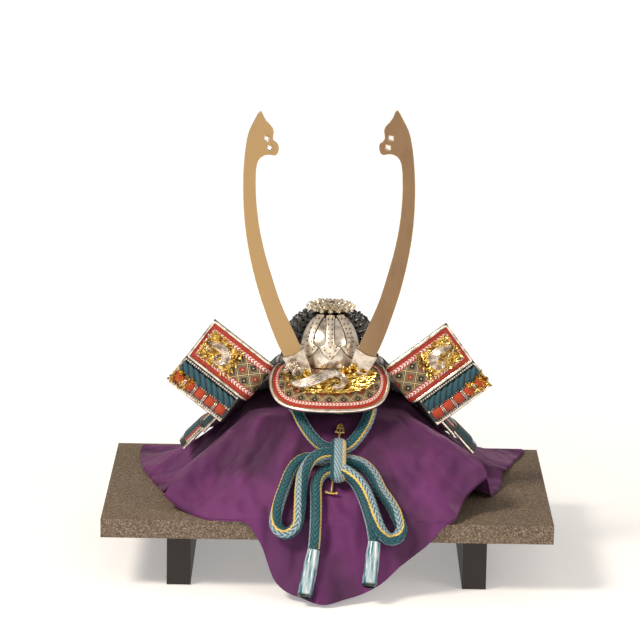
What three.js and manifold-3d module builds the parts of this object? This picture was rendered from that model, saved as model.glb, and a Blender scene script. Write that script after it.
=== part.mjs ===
// A miniature samurai helmet on a cloth-draped stand, in millimetres, with +Z up and the front facing -Y.
// The helmet is an assembly: bowl, silver front plate, crown blossom, visor, horns, four neck-guard lames
// whose front ends turn out as wings, and a tied chin cord. The stand is a low table, a block, a cloth and a post.
// The origin is the middle of the whole display's footprint, on the surface that it stands on.
import * as THREE from 'three';
import { mergeVertices } from 'three/addons/utils/BufferGeometryUtils.js';
import Module from 'manifold-3d';

const wasm = await Module();
wasm.setup();

// Clearance between pieces that touch on the real object
const fitGap = 0.3;

// Low table
const tableWidth = 450;
const tableDepth = 300;
const tableThickness = 19;
const legHeight = 54;
const legWidth = 24;
const legDepth = 256;
const legInset = 65;

// Block under the cloth, and the post that carries the bowl
const blockWidth = 150;
const blockDepth = 124;
const blockHeight = 84;
const blockCorner = 20;
const postRadius = 9;
const postFootRadius = 20;
const postFootHeight = 5;
const postHeadRadius = 11;
const postHeadHeight = 8;

// Draped cloth
const clothThickness = 1.2;
const clothEase = 2;
const flapDrop = 69;
const flapSwing = 50;

// Bowl, its base band and the silver front plate
const bowlHalfWidth = 46;
const bowlHalfLength = 52;
const bowlHeight = 51.5;
const bowlWall = 2.5;
const bowlRimZ = 203;
const bowlCentreY = 4;
const bowlSquareness = 2.8;
const bandWidth = 8;
const bandThickness = 3.2;
const frontPlateThickness = 1.5;
const frontPlateHalfColumns = 4;
const frontPlateTop = 0.93;
const frontPlateFoot = 0.06;
const ribRaise = 1.8;

// Crown blossom on top of the bowl
const crownRadius = 24;
const crownLayerHeight = 3.1;
const crownHoleRadius = 4.5;

// Visor
const visorReach = 46;
const visorDrop = 29;
const visorHalfAngle = 54;
const visorThickness = 2.4;
const visorRimWidth = 3.2;

// Horns, their base plate and sockets
const hornStandOff = 8;
const hornFootRise = 13;
const hornHeight = 254;
const hornSpread = 86;
const hornThickness = 2.2;
const hornTilt = 1.2;
const socketLength = 27;
const socketWall = 1.6;
const hornTongue = 9;
const hornBaseThickness = 1.8;

// Neck guard: four lames round the sides and back
const lameThickness = 2;
const guardDip = 45;
const guardBackDip = 54;
const guardFrontDip = 53;
const lameHeights = [48, 36, 29, 30];
const lameOverlap = 3;
const sideRun = 42;
const sideRise = 4.5;
const sideFlare = 3;
const lowerLameStart = 20;

// Turned-back wings at the front ends of the two upper lames
const foldRadius = 9;
const foldTurn = 78;
const wingLength = 69;
const wingRise = 36.2;
const wingLean = 8.5;
const facingThickness = 1;
const wingRimWidth = 3;
const wingRimThickness = 2.6;
const braidDiameter = 10.5;
const puffDiameter = 10.5;

// Chin cord
const cordDiameter = 12.2;
const cordSides = 8;
const knotWidth = 16;
const knotHeight = 50;
const knotDepth = 25;
const knotRounding = 3;
const knotSides = 16;
const sleeveDiameter = 15;
const sleeveGap = 2.4;
const pinDiameter = 2.4;

// Places worked out from the sizes above
const tableTop = legHeight + tableThickness;
const blockTop = tableTop + fitGap + blockHeight;
const clothRest = blockTop + fitGap;
const clothSurface = clothRest + clothThickness;
const hornPlaneY = bowlCentreY - bowlHalfLength - hornStandOff;
const hornFootZ = bowlRimZ + hornFootRise;
const frontReach = tableDepth / 2 + flapSwing + clothThickness;
const originShiftY = (frontReach - tableDepth / 2) / 2;

const radians = THREE.MathUtils.degToRad;
const vector = (x, y, z) => new THREE.Vector3(x, y, z);

const finish = {
  stone: { color: 0x6b5f52, roughness: 0.85, metalness: 0 },
  darkWood: { color: 0x2e2523, roughness: 0.6, metalness: 0 },
  plainWood: { color: 0xc9a876, roughness: 0.7, metalness: 0 },
  purpleCloth: { color: 0x6a2f6e, roughness: 0.9, metalness: 0 },
  blackLacquer: { color: 0x0d0d0f, roughness: 0.3, metalness: 0.1 },
  silver: { color: 0xd9d2c8, roughness: 0.28, metalness: 1 },
  champagne: { color: 0xb69a80, roughness: 0.38, metalness: 1 },
  gold: { color: 0xe0aa35, roughness: 0.3, metalness: 1 },
  patternedLeather: { color: 0xb5652f, roughness: 0.6, metalness: 0 },
  redLeather: { color: 0xb8322a, roughness: 0.6, metalness: 0 },
  tealSilk: { color: 0x12707f, roughness: 0.7, metalness: 0 },
  orangeSilk: { color: 0xd64321, roughness: 0.7, metalness: 0 },
  silkEnds: { color: 0xbfd3d4, roughness: 0.3, metalness: 0 },
};

const display = new THREE.Group();
display.position.set(0, originShiftY, 0);

function addMesh(name, geometry, surface, parent = display) {
  const mesh = new THREE.Mesh(geometry, new THREE.MeshStandardMaterial(surface));
  mesh.name = name;
  parent.add(mesh);
  return mesh;
}

// One closed solid from corner points and faces, turned so that its faces point out
function closedSolid(points, faces) {
  const triangles = [];
  for (const face of faces) {
    for (let k = 1; k < face.length - 1; k += 1) {
      triangles.push([face[0], face[k], face[k + 1]]);
    }
  }
  const corner = new THREE.Vector3();
  let volume = 0;
  for (const [a, b, c] of triangles) {
    volume += points[a].dot(corner.crossVectors(points[b], points[c]));
  }
  const index = triangles.flatMap(([a, b, c]) => (volume < 0 ? [a, c, b] : [a, b, c]));
  const geometry = new THREE.BufferGeometry();
  geometry.setAttribute('position', new THREE.Float32BufferAttribute(points.flatMap((p) => p.toArray()), 3));
  geometry.setIndex(index);
  return geometry;
}

// A wall over a grid of { point, normal } rows, from the inner to the outer offset along the normals.
// A closed wall wraps round in its columns, and a pole gathers its first row into one point.
function wall(grid, inner, outer, { closed = false, pole = false } = {}) {
  const points = [];
  const layer = (offset) => grid.map((row, i) => {
    if (pole && i === 0) {
      points.push(row[0].point.clone().addScaledVector(row[0].normal, offset));
      return row.map(() => points.length - 1);
    }
    return row.map(({ point, normal }) => {
      points.push(point.clone().addScaledVector(normal, offset));
      return points.length - 1;
    });
  });
  const low = layer(inner);
  const high = layer(outer);
  const last = grid.length - 1;
  const columns = grid[0].length;
  const spans = closed ? columns : columns - 1;
  const faces = [];
  const addFace = (...corners) => faces.push(corners.filter((c, k) => corners.indexOf(c) === k));
  for (let i = 0; i < last; i += 1) {
    for (let j = 0; j < spans; j += 1) {
      const k = (j + 1) % columns;
      addFace(high[i][j], high[i + 1][j], high[i + 1][k], high[i][k]);
      addFace(low[i][j], low[i][k], low[i + 1][k], low[i + 1][j]);
    }
  }
  for (let j = 0; j < spans; j += 1) {
    const k = (j + 1) % columns;
    if (!pole) addFace(high[0][j], high[0][k], low[0][k], low[0][j]);
    addFace(high[last][j], low[last][j], low[last][k], high[last][k]);
  }
  if (!closed) {
    for (let i = 0; i < last; i += 1) {
      addFace(high[i][0], low[i][0], low[i + 1][0], high[i + 1][0]);
      addFace(high[i][columns - 1], high[i + 1][columns - 1], low[i + 1][columns - 1], low[i][columns - 1]);
    }
  }
  return closedSolid(points, faces);
}

// Gives each point of a grid its normal, on the side that the hint names
function withNormals(rows, hint, { closed = false } = {}) {
  const columns = rows[0].length;
  return rows.map((row, i) => row.map((point, j) => {
    const up = rows[Math.max(i - 1, 0)][j];
    const down = rows[Math.min(i + 1, rows.length - 1)][j];
    const left = closed ? row[(j + columns - 1) % columns] : row[Math.max(j - 1, 0)];
    const right = closed ? row[(j + 1) % columns] : row[Math.min(j + 1, columns - 1)];
    const normal = down.clone().sub(up).cross(right.clone().sub(left)).normalize();
    if (normal.dot(hint(point)) < 0) normal.negate();
    return { point, normal };
  }));
}

// A bar whose section polygon is given at each station
function sweep(sections) {
  const sides = sections[0].length;
  const points = sections.flat();
  const faces = [];
  for (let i = 0; i < sections.length - 1; i += 1) {
    for (let j = 0; j < sides; j += 1) {
      const k = (j + 1) % sides;
      faces.push([i * sides + j, i * sides + k, (i + 1) * sides + k, (i + 1) * sides + j]);
    }
  }
  const first = [...Array(sides).keys()];
  faces.push([...first].reverse());
  faces.push(first.map((j) => (sections.length - 1) * sides + j));
  return closedSolid(points, faces);
}

function toManifold(geometry) {
  const bare = geometry.clone();
  bare.deleteAttribute('normal');
  bare.deleteAttribute('uv');
  const merged = mergeVertices(bare, 1e-4);
  return new wasm.Manifold(new wasm.Mesh({
    numProp: 3,
    vertProperties: new Float32Array(merged.attributes.position.array),
    triVerts: new Uint32Array(merged.index.array),
  }));
}

function fromManifold(solid) {
  const { vertProperties, triVerts } = solid.getMesh();
  const geometry = new THREE.BufferGeometry();
  geometry.setAttribute('position', new THREE.Float32BufferAttribute(vertProperties, 3));
  geometry.setIndex([...triVerts]);
  return geometry;
}

function fuse(base, extras) {
  return fromManifold(extras.reduce((whole, extra) => whole.add(toManifold(extra)), toManifold(base)));
}

// What is left of a length of cord outside the knot, without the crumbs that the cut leaves
function largestBody(solid) {
  return solid.decompose().reduce((best, body) => (body.volume() > best.volume() ? body : best));
}

function boxAt(width, depth, height, x, y, z) {
  return new THREE.BoxGeometry(width, depth, height).translate(x, y, z + height / 2);
}

const smooth = (t) => t * t * (3 - 2 * t);
const mix = (a, b, t) => a + (b - a) * t;

// Low table
addMesh('table_top', boxAt(tableWidth, tableDepth, tableThickness, 0, 0, legHeight), finish.stone);
for (const [side, sign] of [['left', -1], ['right', 1]]) {
  const legX = sign * (tableWidth / 2 - legInset - legWidth / 2);
  addMesh(`table_leg_${side}`, boxAt(legWidth, legDepth, legHeight - fitGap, legX, 0, 0), finish.darkWood);
}

// Block: a rounded rectangle, and how far its outline lies from the middle in a direction
function roundedRectangle(width, depth, corner) {
  const x = width / 2;
  const y = depth / 2;
  const shape = new THREE.Shape();
  shape.moveTo(-x + corner, -y);
  shape.lineTo(x - corner, -y);
  shape.absarc(x - corner, -y + corner, corner, -Math.PI / 2, 0);
  shape.absarc(x - corner, y - corner, corner, 0, Math.PI / 2);
  shape.absarc(-x + corner, y - corner, corner, Math.PI / 2, Math.PI);
  shape.absarc(-x + corner, -y + corner, corner, Math.PI, Math.PI * 1.5);
  return shape;
}

function blockRadius(angle, clearance) {
  const outside = (r) => {
    const x = Math.max(Math.abs(r * Math.cos(angle)) - blockWidth / 2 + blockCorner, 0);
    const y = Math.max(Math.abs(r * Math.sin(angle)) - blockDepth / 2 + blockCorner, 0);
    return Math.hypot(x, y) - blockCorner;
  };
  let low = 0;
  let high = blockWidth + blockDepth;
  for (let step = 0; step < 40; step += 1) {
    const middle = (low + high) / 2;
    if (outside(middle) < clearance) low = middle;
    else high = middle;
  }
  return low;
}

addMesh('stand_block', new THREE.ExtrudeGeometry(roundedRectangle(blockWidth, blockDepth, blockCorner), {
  depth: blockHeight, bevelEnabled: false, curveSegments: 5,
}).translate(0, 0, tableTop + fitGap), finish.plainWood);

// Cloth: one row for each direction round the block. reach is the hem's distance as a share of the table's
// edge in that direction, lift its height as a share of the block's, sag bends the slope (1 is taut), and
// drop and swing say how far the hem hangs below and in front of the table, as shares of the front flap's.
const clothFolds = [
  { angle: -118, reach: 1, lift: 0, sag: 1.05, drop: 0.02, swing: 0.05 },
  { angle: -113, reach: 1, lift: 0, sag: 1.05, drop: 0.33, swing: 0.15 },
  { angle: -109, reach: 1, lift: 0, sag: 1, drop: 0.76, swing: 0.33 },
  { angle: -104.5, reach: 1, lift: 0, sag: 1, drop: 0.93, swing: 0.52 },
  { angle: -98, reach: 1, lift: 0, sag: 1.04, drop: 1, swing: 0.71 },
  { angle: -91, reach: 1, lift: 0, sag: 1, drop: 1.02, swing: 1 },
  { angle: -84, reach: 1, lift: 0, sag: 1.04, drop: 0.98, swing: 0.82 },
  { angle: -77, reach: 1, lift: 0, sag: 1, drop: 0.93, swing: 0.6 },
  { angle: -71, reach: 1, lift: 0, sag: 1.05, drop: 0.81, swing: 0.47 },
  { angle: -65, reach: 1, lift: 0, sag: 1, drop: 0.58, swing: 0.33 },
  { angle: -57, reach: 1, lift: 0, sag: 1, drop: 0.3, swing: 0.15 },
  { angle: -51.5, reach: 1, lift: 0.02, sag: 1, drop: 0, swing: 0.02 },
  { angle: -40, reach: 0.78, lift: 0.26, sag: 1, drop: 0, swing: 0 },
  { angle: -29, reach: 0.685, lift: 0.52, sag: 1, drop: 0, swing: 0 },
  { angle: -23, reach: 0.715, lift: 0.28, sag: 1.3, drop: 0, swing: 0 },
  { angle: -16, reach: 0.74, lift: 0.02, sag: 1.7, drop: 0, swing: 0 },
  { angle: -5, reach: 0.785, lift: 0.03, sag: 1.7, drop: 0, swing: 0 },
  { angle: 6, reach: 0.805, lift: 0.13, sag: 1.6, drop: 0, swing: 0 },
  { angle: 15, reach: 0.83, lift: 0.04, sag: 1.5, drop: 0, swing: 0 },
  { angle: 24, reach: 0.868, lift: 0.01, sag: 1.7, drop: 0, swing: 0 },
  { angle: 32.5, reach: 0.93, lift: 0.01, sag: 2, drop: 0, swing: 0 },
  { angle: 41, reach: 0.93, lift: 0.01, sag: 2.5, drop: 0, swing: 0 },
  { angle: 51, reach: 0.87, lift: 0.01, sag: 2.6, drop: 0, swing: 0 },
  { angle: 68, reach: 0.88, lift: 0.04, sag: 2.5, drop: 0, swing: 0 },
  { angle: 90, reach: 0.92, lift: 0.01, sag: 2.2, drop: 0, swing: 0 },
  { angle: 112, reach: 0.88, lift: 0.04, sag: 2.5, drop: 0, swing: 0 },
  { angle: 132, reach: 0.86, lift: 0.01, sag: 2.6, drop: 0, swing: 0 },
  { angle: 150, reach: 0.88, lift: 0.01, sag: 1.95, drop: 0, swing: 0 },
  { angle: 165, reach: 0.86, lift: 0.01, sag: 1.5, drop: 0, swing: 0 },
  { angle: 182, reach: 0.8, lift: 0.01, sag: 1.6, drop: 0, swing: 0 },
  { angle: 197, reach: 0.74, lift: 0.02, sag: 1.6, drop: 0, swing: 0 },
  { angle: 207, reach: 0.68, lift: 0.3, sag: 1.15, drop: 0, swing: 0 },
  { angle: 219, reach: 0.79, lift: 0.03, sag: 1.35, drop: 0, swing: 0 },
  { angle: 231, reach: 0.97, lift: 0, sag: 1.1, drop: 0, swing: 0 },
];
const clothColumns = 64;
const clothSlopeRings = 5;
const clothFlapRings = 3;

// The fold table's values at an angle, on a smooth curve through its rows
function clothAt(degrees) {
  const rows = clothFolds;
  const turn = (a) => ((a - rows[0].angle) % 360 + 360) % 360;
  const place = turn(degrees);
  let k = rows.length - 1;
  while (turn(rows[k].angle) > place) k -= 1;
  const span = k === rows.length - 1 ? 360 - turn(rows[k].angle) : turn(rows[k + 1].angle) - turn(rows[k].angle);
  const t = (place - turn(rows[k].angle)) / span;
  const row = (n) => rows[(k + n + rows.length) % rows.length];
  const at = (key) => {
    const [a, b, c, d] = [row(-1)[key], row(0)[key], row(1)[key], row(2)[key]];
    const curve = b + 0.5 * t * (c - a + t * (2 * a - 5 * b + 4 * c - d + t * (3 * (b - c) + d - a)));
    return Math.min(Math.max(curve, Math.min(b, c)), Math.max(b, c));
  };
  return { reach: at('reach'), lift: at('lift'), sag: at('sag'), drop: at('drop'), swing: at('swing') };
}

function tableEdge(angle) {
  const alongX = tableWidth / 2 / Math.max(Math.abs(Math.cos(angle)), 1e-6);
  const alongY = tableDepth / 2 / Math.max(Math.abs(Math.sin(angle)), 1e-6);
  return Math.min(alongX, alongY);
}

function clothProfile(degrees) {
  const angle = radians(degrees);
  const { reach, lift, sag, drop, swing } = clothAt(degrees);
  const flat = tableTop + fitGap;
  const edge = blockRadius(angle, clothEase);
  const hem = tableEdge(angle) * reach + (reach > 0.95 ? clothEase : 0);
  const footZ = flat + lift * blockHeight;
  const at = (r, z) => vector(r * Math.cos(angle), r * Math.sin(angle), z);
  const column = [at(0, clothRest), at(edge * 0.55, clothRest), at(edge, clothRest)];
  for (let i = 1; i <= clothSlopeRings; i += 1) {
    const u = i / clothSlopeRings;
    column.push(at(mix(edge, hem, u), footZ + (clothRest - footZ) * (1 - u) ** sag));
  }
  const lip = column[column.length - 1];
  const outward = swing * flapSwing - clothEase * Math.min(swing / 0.05, 1);
  for (let i = 1; i <= clothFlapRings; i += 1) {
    const u = i / clothFlapRings;
    const curl = u ** 1.3;
    const out = outward * curl + (drop > 0.01 ? 0 : u * 1.2);
    const towards = drop > 0.01 ? vector(Math.cos(angle) * 0.25, -1, 0) : vector(Math.cos(angle), Math.sin(angle), 0);
    column.push(lip.clone().addScaledVector(towards, out).add(vector(0, 0, -flapDrop * drop * u)));
  }
  return column;
}

const clothProfiles = Array.from({ length: clothColumns }, (_, j) => clothProfile(-90 + (360 * j) / clothColumns));
const clothGrid = withNormals(
  clothProfiles[0].map((_, i) => clothProfiles.map((column) => column[i])),
  (p) => vector(p.x, p.y, 120),
  { closed: true },
);
clothGrid[0].forEach((cell) => cell.normal.set(0, 0, 1));
addMesh('drape_cloth', wall(clothGrid, 0, clothThickness, { closed: true, pole: true }), finish.purpleCloth);

// Bowl: a squarish dome. The share runs from 0 at the rim to 1 at the top.
function domePoint(angle, share, offset = 0) {
  const level = Math.min(share, 1);
  const width = (1 - level ** bowlSquareness) ** (1 / bowlSquareness);
  const point = vector(
    bowlHalfWidth * width * Math.cos(angle),
    bowlCentreY + bowlHalfLength * width * Math.sin(angle),
    bowlRimZ + bowlHeight * level,
  );
  const power = bowlSquareness - 1;
  const radial = vector(Math.cos(angle) / bowlHalfWidth, Math.sin(angle) / bowlHalfLength, 0);
  const normal = radial.multiplyScalar(width ** power).add(vector(0, 0, level ** power / bowlHeight)).normalize();
  return { point: point.addScaledVector(normal, offset), normal };
}

const bowlColumns = 36;
const bowlShares = [1, 0.98, 0.92, 0.79, 0.58, 0.3, 0];
const bowlGrid = bowlShares.map((share) => Array.from({ length: bowlColumns }, (_, j) => (
  domePoint((2 * Math.PI * j) / bowlColumns, share)
)));
addMesh('bowl', wall(bowlGrid, -bowlWall, 0, { closed: true, pole: true }), finish.blackLacquer);

// Base band: a flat ring under the bowl's rim, to which the neck guard and the visor are riveted
const bandTop = bowlRimZ - fitGap;
const bandReach = bandWidth - bowlWall;
function bandEllipse(extra) {
  return new THREE.EllipseCurve(0, bowlCentreY, bowlHalfWidth + extra, bowlHalfLength + extra, 0, 2 * Math.PI)
    .getPoints(bowlColumns);
}
const bandShape = new THREE.Shape(bandEllipse(bandReach));
bandShape.holes.push(new THREE.Path(bandEllipse(-bowlWall)));
addMesh('bowl_band', new THREE.ExtrudeGeometry(bandShape, { depth: bandThickness, bevelEnabled: false })
  .translate(0, 0, bandTop - bandThickness), finish.blackLacquer);

// Post: foot on the cloth, stem, and a head that the bowl rests on
const domeInside = domePoint(0, 0.985, -bowlWall).point.z;
const postTop = domeInside - fitGap;
addMesh('stand_post', new THREE.LatheGeometry([
  new THREE.Vector2(0, clothSurface + fitGap),
  new THREE.Vector2(postFootRadius, clothSurface + fitGap),
  new THREE.Vector2(postFootRadius, clothSurface + fitGap + postFootHeight),
  new THREE.Vector2(postRadius, clothSurface + fitGap + postFootHeight),
  new THREE.Vector2(postRadius, postTop - postHeadHeight),
  new THREE.Vector2(postHeadRadius, postTop - postHeadHeight),
  new THREE.Vector2(postHeadRadius, postTop),
  new THREE.Vector2(0, postTop),
], 16).rotateX(Math.PI / 2).translate(0, bowlCentreY, 0), finish.plainWood);

// Front plate with three raised ribs that end in arrow heads
const front = -Math.PI / 2;
function domePatch(shares, centreAngle, halfAngleAt, columns, inner, outer) {
  const grid = shares.map((share, i) => Array.from({ length: columns }, (_, j) => {
    const across = (2 * j) / (columns - 1) - 1;
    return domePoint(centreAngle(share) + halfAngleAt(i) * across, share);
  }));
  return wall(grid, inner, outer);
}
const plateInner = fitGap;
const plateOuter = fitGap + frontPlateThickness;
const plateShares = [...bowlShares.filter((share) => share < frontPlateTop && share > frontPlateFoot), frontPlateFoot];
const plateHalfAngle = (2 * Math.PI * frontPlateHalfColumns) / bowlColumns;
const frontPlate = domePatch([frontPlateTop, ...plateShares], () => front, () => plateHalfAngle,
  2 * frontPlateHalfColumns + 1, plateInner, plateOuter);
// A rib's rows: its height on the bowl and its half width, as a share of the arrow head's
const ribRows = [
  { height: 0.95, width: 0.42 },
  { height: 0.9, width: 0.4 },
  { height: 0.82, width: 0.38 },
  { height: 0.72, width: 0.36 },
  { height: 0.6, width: 0.38 },
  { height: 0.5, width: 0.42 },
  { height: 0.46, width: 1 },
  { height: 0.34, width: 0.62 },
  { height: 0.24, width: 0.08 },
];
const arrowHalfWidth = 11;
const ribSpacing = 26;
function frontRib(turn) {
  const angleFor = (share) => {
    const { point } = domePoint(front, share);
    return Math.max(Math.abs(point.y - bowlCentreY), bowlHalfLength * 0.3);
  };
  return domePatch(
    ribRows.map((row) => row.height),
    () => front + radians(turn),
    (i) => (ribRows[i].width * arrowHalfWidth) / angleFor(ribRows[i].height),
    3,
    plateOuter - 0.5,
    plateOuter + ribRaise,
  );
}
const ribbedPlate = toManifold(fuse(frontPlate, [frontRib(-ribSpacing), frontRib(0), frontRib(ribSpacing)]));
const bowlAndGap = toManifold(wall(bowlGrid, -2 * bowlWall, plateInner, { closed: true, pole: true }));
addMesh('front_plate', fromManifold(ribbedPlate.subtract(bowlAndGap)), finish.silver);

// Crown: three blossoms, one on the other, each a petalled disc with a hole through it
function blossom(radius, petals, depth, hole) {
  const outline = Array.from({ length: petals * 2 }, (_, k) => {
    const angle = (Math.PI * k) / petals;
    const r = radius * (k % 2 ? 0.88 : 1);
    return new THREE.Vector2(r * Math.cos(angle), r * Math.sin(angle));
  });
  const shape = new THREE.Shape(outline);
  shape.holes.push(new THREE.Path().absarc(0, 0, hole, 0, 2 * Math.PI));
  return new THREE.ExtrudeGeometry(shape, { depth, bevelEnabled: false, curveSegments: 10 });
}
const crownFloor = bowlRimZ + bowlHeight + fitGap;
const crownLayers = [
  { name: 'crown_blossom_lower', radius: 1, petals: 16 },
  { name: 'crown_blossom_middle', radius: 0.78, petals: 12 },
  { name: 'crown_blossom_upper', radius: 0.52, petals: 8 },
];
crownLayers.forEach(({ name, radius, petals }, k) => {
  addMesh(name, blossom(crownRadius * radius, petals, crownLayerHeight - fitGap, crownHoleRadius)
    .translate(0, bowlCentreY, crownFloor + k * crownLayerHeight), finish.silver);
});

// Visor: a curved peak that slopes forward and down from the band's top, tapering to its two ends
const visorInner = bandReach - 1.5;
function visorPoint(angle, share, extra = 0) {
  const aside = Math.min(Math.abs(angle - front) / radians(visorHalfAngle), 1);
  const fullness = 1 - aside ** 5;
  const reach = visorReach * (0.2 + 0.8 * fullness) * share + extra;
  const along = vector(Math.cos(angle), Math.sin(angle), 0);
  const point = vector(
    (bowlHalfWidth + visorInner) * Math.cos(angle),
    bowlCentreY + (bowlHalfLength + visorInner) * Math.sin(angle),
    bowlRimZ,
  );
  const drop = visorDrop * (reach / visorReach) ** 1.15 * fullness ** 1.6;
  return point.addScaledVector(along, reach).add(vector(0, 0, -drop));
}
const visorColumns = 21;
const visorAngle = (j) => front + radians(visorHalfAngle) * ((2 * j) / (visorColumns - 1) - 1);
const visorShares = [0, 0.34, 0.67, 1];
const visorFloor = fitGap * 2;
const visorGrid = withNormals(
  visorShares.map((share) => Array.from({ length: visorColumns }, (_, j) => visorPoint(visorAngle(j), share))),
  () => vector(0, -0.5, 1),
);
const visorOnly = toManifold(wall(visorGrid, visorFloor, visorFloor + visorThickness));
const bandKeepOut = toManifold(new THREE.ExtrudeGeometry(new THREE.Shape(bandEllipse(bandReach + fitGap)), {
  depth: bandThickness + 2 * fitGap, bevelEnabled: false,
}).translate(0, 0, bandTop - bandThickness - fitGap));
const bowlKeepOut = toManifold(new THREE.ExtrudeGeometry(new THREE.Shape(bandEllipse(plateOuter + ribRaise + fitGap)), {
  depth: bowlHeight, bevelEnabled: false,
}).translate(0, 0, bowlRimZ - 0.01));
addMesh('visor', fromManifold(visorOnly.subtract(bandKeepOut).subtract(bowlKeepOut)), finish.patternedLeather);

// Silver rim: a bar round the visor's free edge
const rimStations = Array.from({ length: visorColumns }, (_, j) => visorPoint(visorAngle(j), 1));
const rimSections = rimStations.map((point, j) => {
  const { normal } = visorGrid[visorShares.length - 1][j];
  const before = rimStations[Math.max(j - 1, 0)];
  const after = rimStations[Math.min(j + 1, visorColumns - 1)];
  const along = after.clone().sub(before).normalize();
  const out = along.clone().cross(normal).normalize();
  if (out.dot(vector(point.x, point.y - bowlCentreY, -20)) < 0) out.negate();
  const corner = (a, b) => point.clone().addScaledVector(out, a).addScaledVector(normal, b);
  const low = visorFloor - 0.4;
  const high = visorFloor + visorThickness + 0.8;
  const near = 2 * fitGap;
  const far = near + visorRimWidth;
  return [corner(near, low), corner(far, low), corner(far, high), corner(near, high)];
});
addMesh('visor_rim', sweep(rimSections), finish.silver);

// A point on top of the visor, with the way that the surface faces there
function visorTop(angle, share) {
  const step = 0.02;
  const here = visorPoint(angle, share);
  const across = visorPoint(angle + step, share).sub(visorPoint(angle - step, share));
  const down = visorPoint(angle, share + step).sub(here);
  const normal = down.cross(across).normalize();
  if (normal.z < 0) normal.negate();
  return { point: here.addScaledVector(normal, visorFloor + visorThickness), normal };
}

// A leaf of cast relief: a pointed hump on a surface, given by its tip, root, width and height
function reliefLeaf(root, tip, normal, width, height, sink) {
  const along = tip.clone().sub(root);
  const length = along.length();
  along.normalize();
  const across = along.clone().cross(normal).normalize();
  const base = [[0, 0], [0.3, 0.5], [0.68, 0.42], [1, 0], [0.68, -0.42], [0.3, -0.5]];
  const lift = (a, b, c) => root.clone().addScaledVector(along, a * length).addScaledVector(across, b * width)
    .addScaledVector(normal, c);
  const points = base.map(([a, b]) => lift(a, b, -sink));
  points.push(...base.map(([a, b]) => lift(a, b * 0.8, height * 0.45)));
  points.push(lift(0.45, 0, height));
  const faces = [[5, 4, 3, 2, 1, 0]];
  for (let k = 0; k < 6; k += 1) {
    const n = (k + 1) % 6;
    faces.push([k, n, 6 + n, 6 + k], [6 + k, 6 + n, 12]);
  }
  return closedSolid(points, faces);
}

// Horn base: a crescent plate on the visor with gold leaf relief, and a silver crest that lies across it
const hornBaseHalfAngle = visorHalfAngle * 0.8;
const hornBaseShares = { back: 0.2, front: 0.66 };
const hornBaseColumns = 17;
const hornBaseSide = 0.4;
function hornBaseGrid(grow) {
  return [0, 0.5, 1].map((t) => Array.from({ length: hornBaseColumns }, (_, j) => {
    const across = (2 * j) / (hornBaseColumns - 1) - 1;
    const backShare = hornBaseShares.back - grow;
    const frontShare = mix(hornBaseShares.front, hornBaseSide, across ** 2) + grow;
    return visorTop(front + (radians(hornBaseHalfAngle) + grow) * across, mix(backShare, frontShare, t));
  }));
}
const hornBaseFloor = 2.5 * fitGap;
const hornBasePlate = wall(hornBaseGrid(0), hornBaseFloor, hornBaseFloor + hornBaseThickness);
// Gold leaves: where each sits across and down the plate, the way its tip turns, and its size
const goldLeaves = [
  { across: -0.75, down: 0.45, turn: 200, length: 13, width: 8 },
  { across: -0.45, down: 0.8, turn: 160, length: 15, width: 8 },
  { across: -0.2, down: 0.5, turn: 120, length: 15, width: 9 },
  { across: -0.05, down: 0.95, turn: 185, length: 16, width: 8 },
  { across: 0.2, down: 0.9, turn: 10, length: 16, width: 8 },
  { across: 0.16, down: 0.5, turn: 80, length: 14, width: 9 },
  { across: 0.48, down: 0.75, turn: 20, length: 15, width: 8 },
  { across: 0.7, down: 0.45, turn: -15, length: 15, width: 8 },
];
function visorLeaf({ across, down, turn, length, width }, grow = 0) {
  const angle = front + radians(hornBaseHalfAngle) * across;
  const share = mix(hornBaseShares.back, mix(hornBaseShares.front, hornBaseSide, across ** 2), down);
  const { point, normal } = visorTop(angle, share);
  const side = vector(1, 0, 0).addScaledVector(normal, -normal.x).normalize();
  const up = normal.clone().cross(side).normalize();
  const way = side.multiplyScalar(Math.cos(radians(turn))).addScaledVector(up, Math.sin(radians(turn)));
  const root = point.clone().addScaledVector(normal, hornBaseFloor + hornBaseThickness);
  const tip = root.clone().addScaledVector(way, length + grow);
  return reliefLeaf(root.addScaledVector(way, -grow), tip, normal, width + 3 * grow, 3.4 + 1.5 * grow, 1);
}
addMesh('horn_base', fuse(hornBasePlate, goldLeaves.map((leaf) => visorLeaf(leaf))), finish.gold);

// Horns: the right one's outline, as shares of its spread from the middle and its height above the foot
const hornOuter = [
  { out: 0.44, up: -0.035 }, { out: 0.591, up: 0.054 }, { out: 0.781, up: 0.228 }, { out: 0.866, up: 0.328 },
  { out: 0.94, up: 0.444 }, { out: 0.985, up: 0.559 }, { out: 1, up: 0.673 }, { out: 0.992, up: 0.772 },
  { out: 0.97, up: 0.849 }, { out: 0.93, up: 0.917 }, { out: 0.877, up: 0.957 }, { out: 0.829, up: 0.988 },
];
const hornHead = [
  { out: 0.805, up: 1.001 }, { out: 0.785, up: 1.003 }, { out: 0.765, up: 0.994 }, { out: 0.745, up: 0.978 },
  { out: 0.719, up: 0.964 }, { out: 0.682, up: 0.95 }, { out: 0.65, up: 0.936 }, { out: 0.637, up: 0.921 },
  { out: 0.641, up: 0.907 }, { out: 0.645, up: 0.895 }, { out: 0.64, up: 0.887 }, { out: 0.602, up: 0.877 },
  { out: 0.584, up: 0.867 }, { out: 0.579, up: 0.855 }, { out: 0.587, up: 0.839 }, { out: 0.608, up: 0.829 },
  { out: 0.635, up: 0.826 },
];
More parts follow.
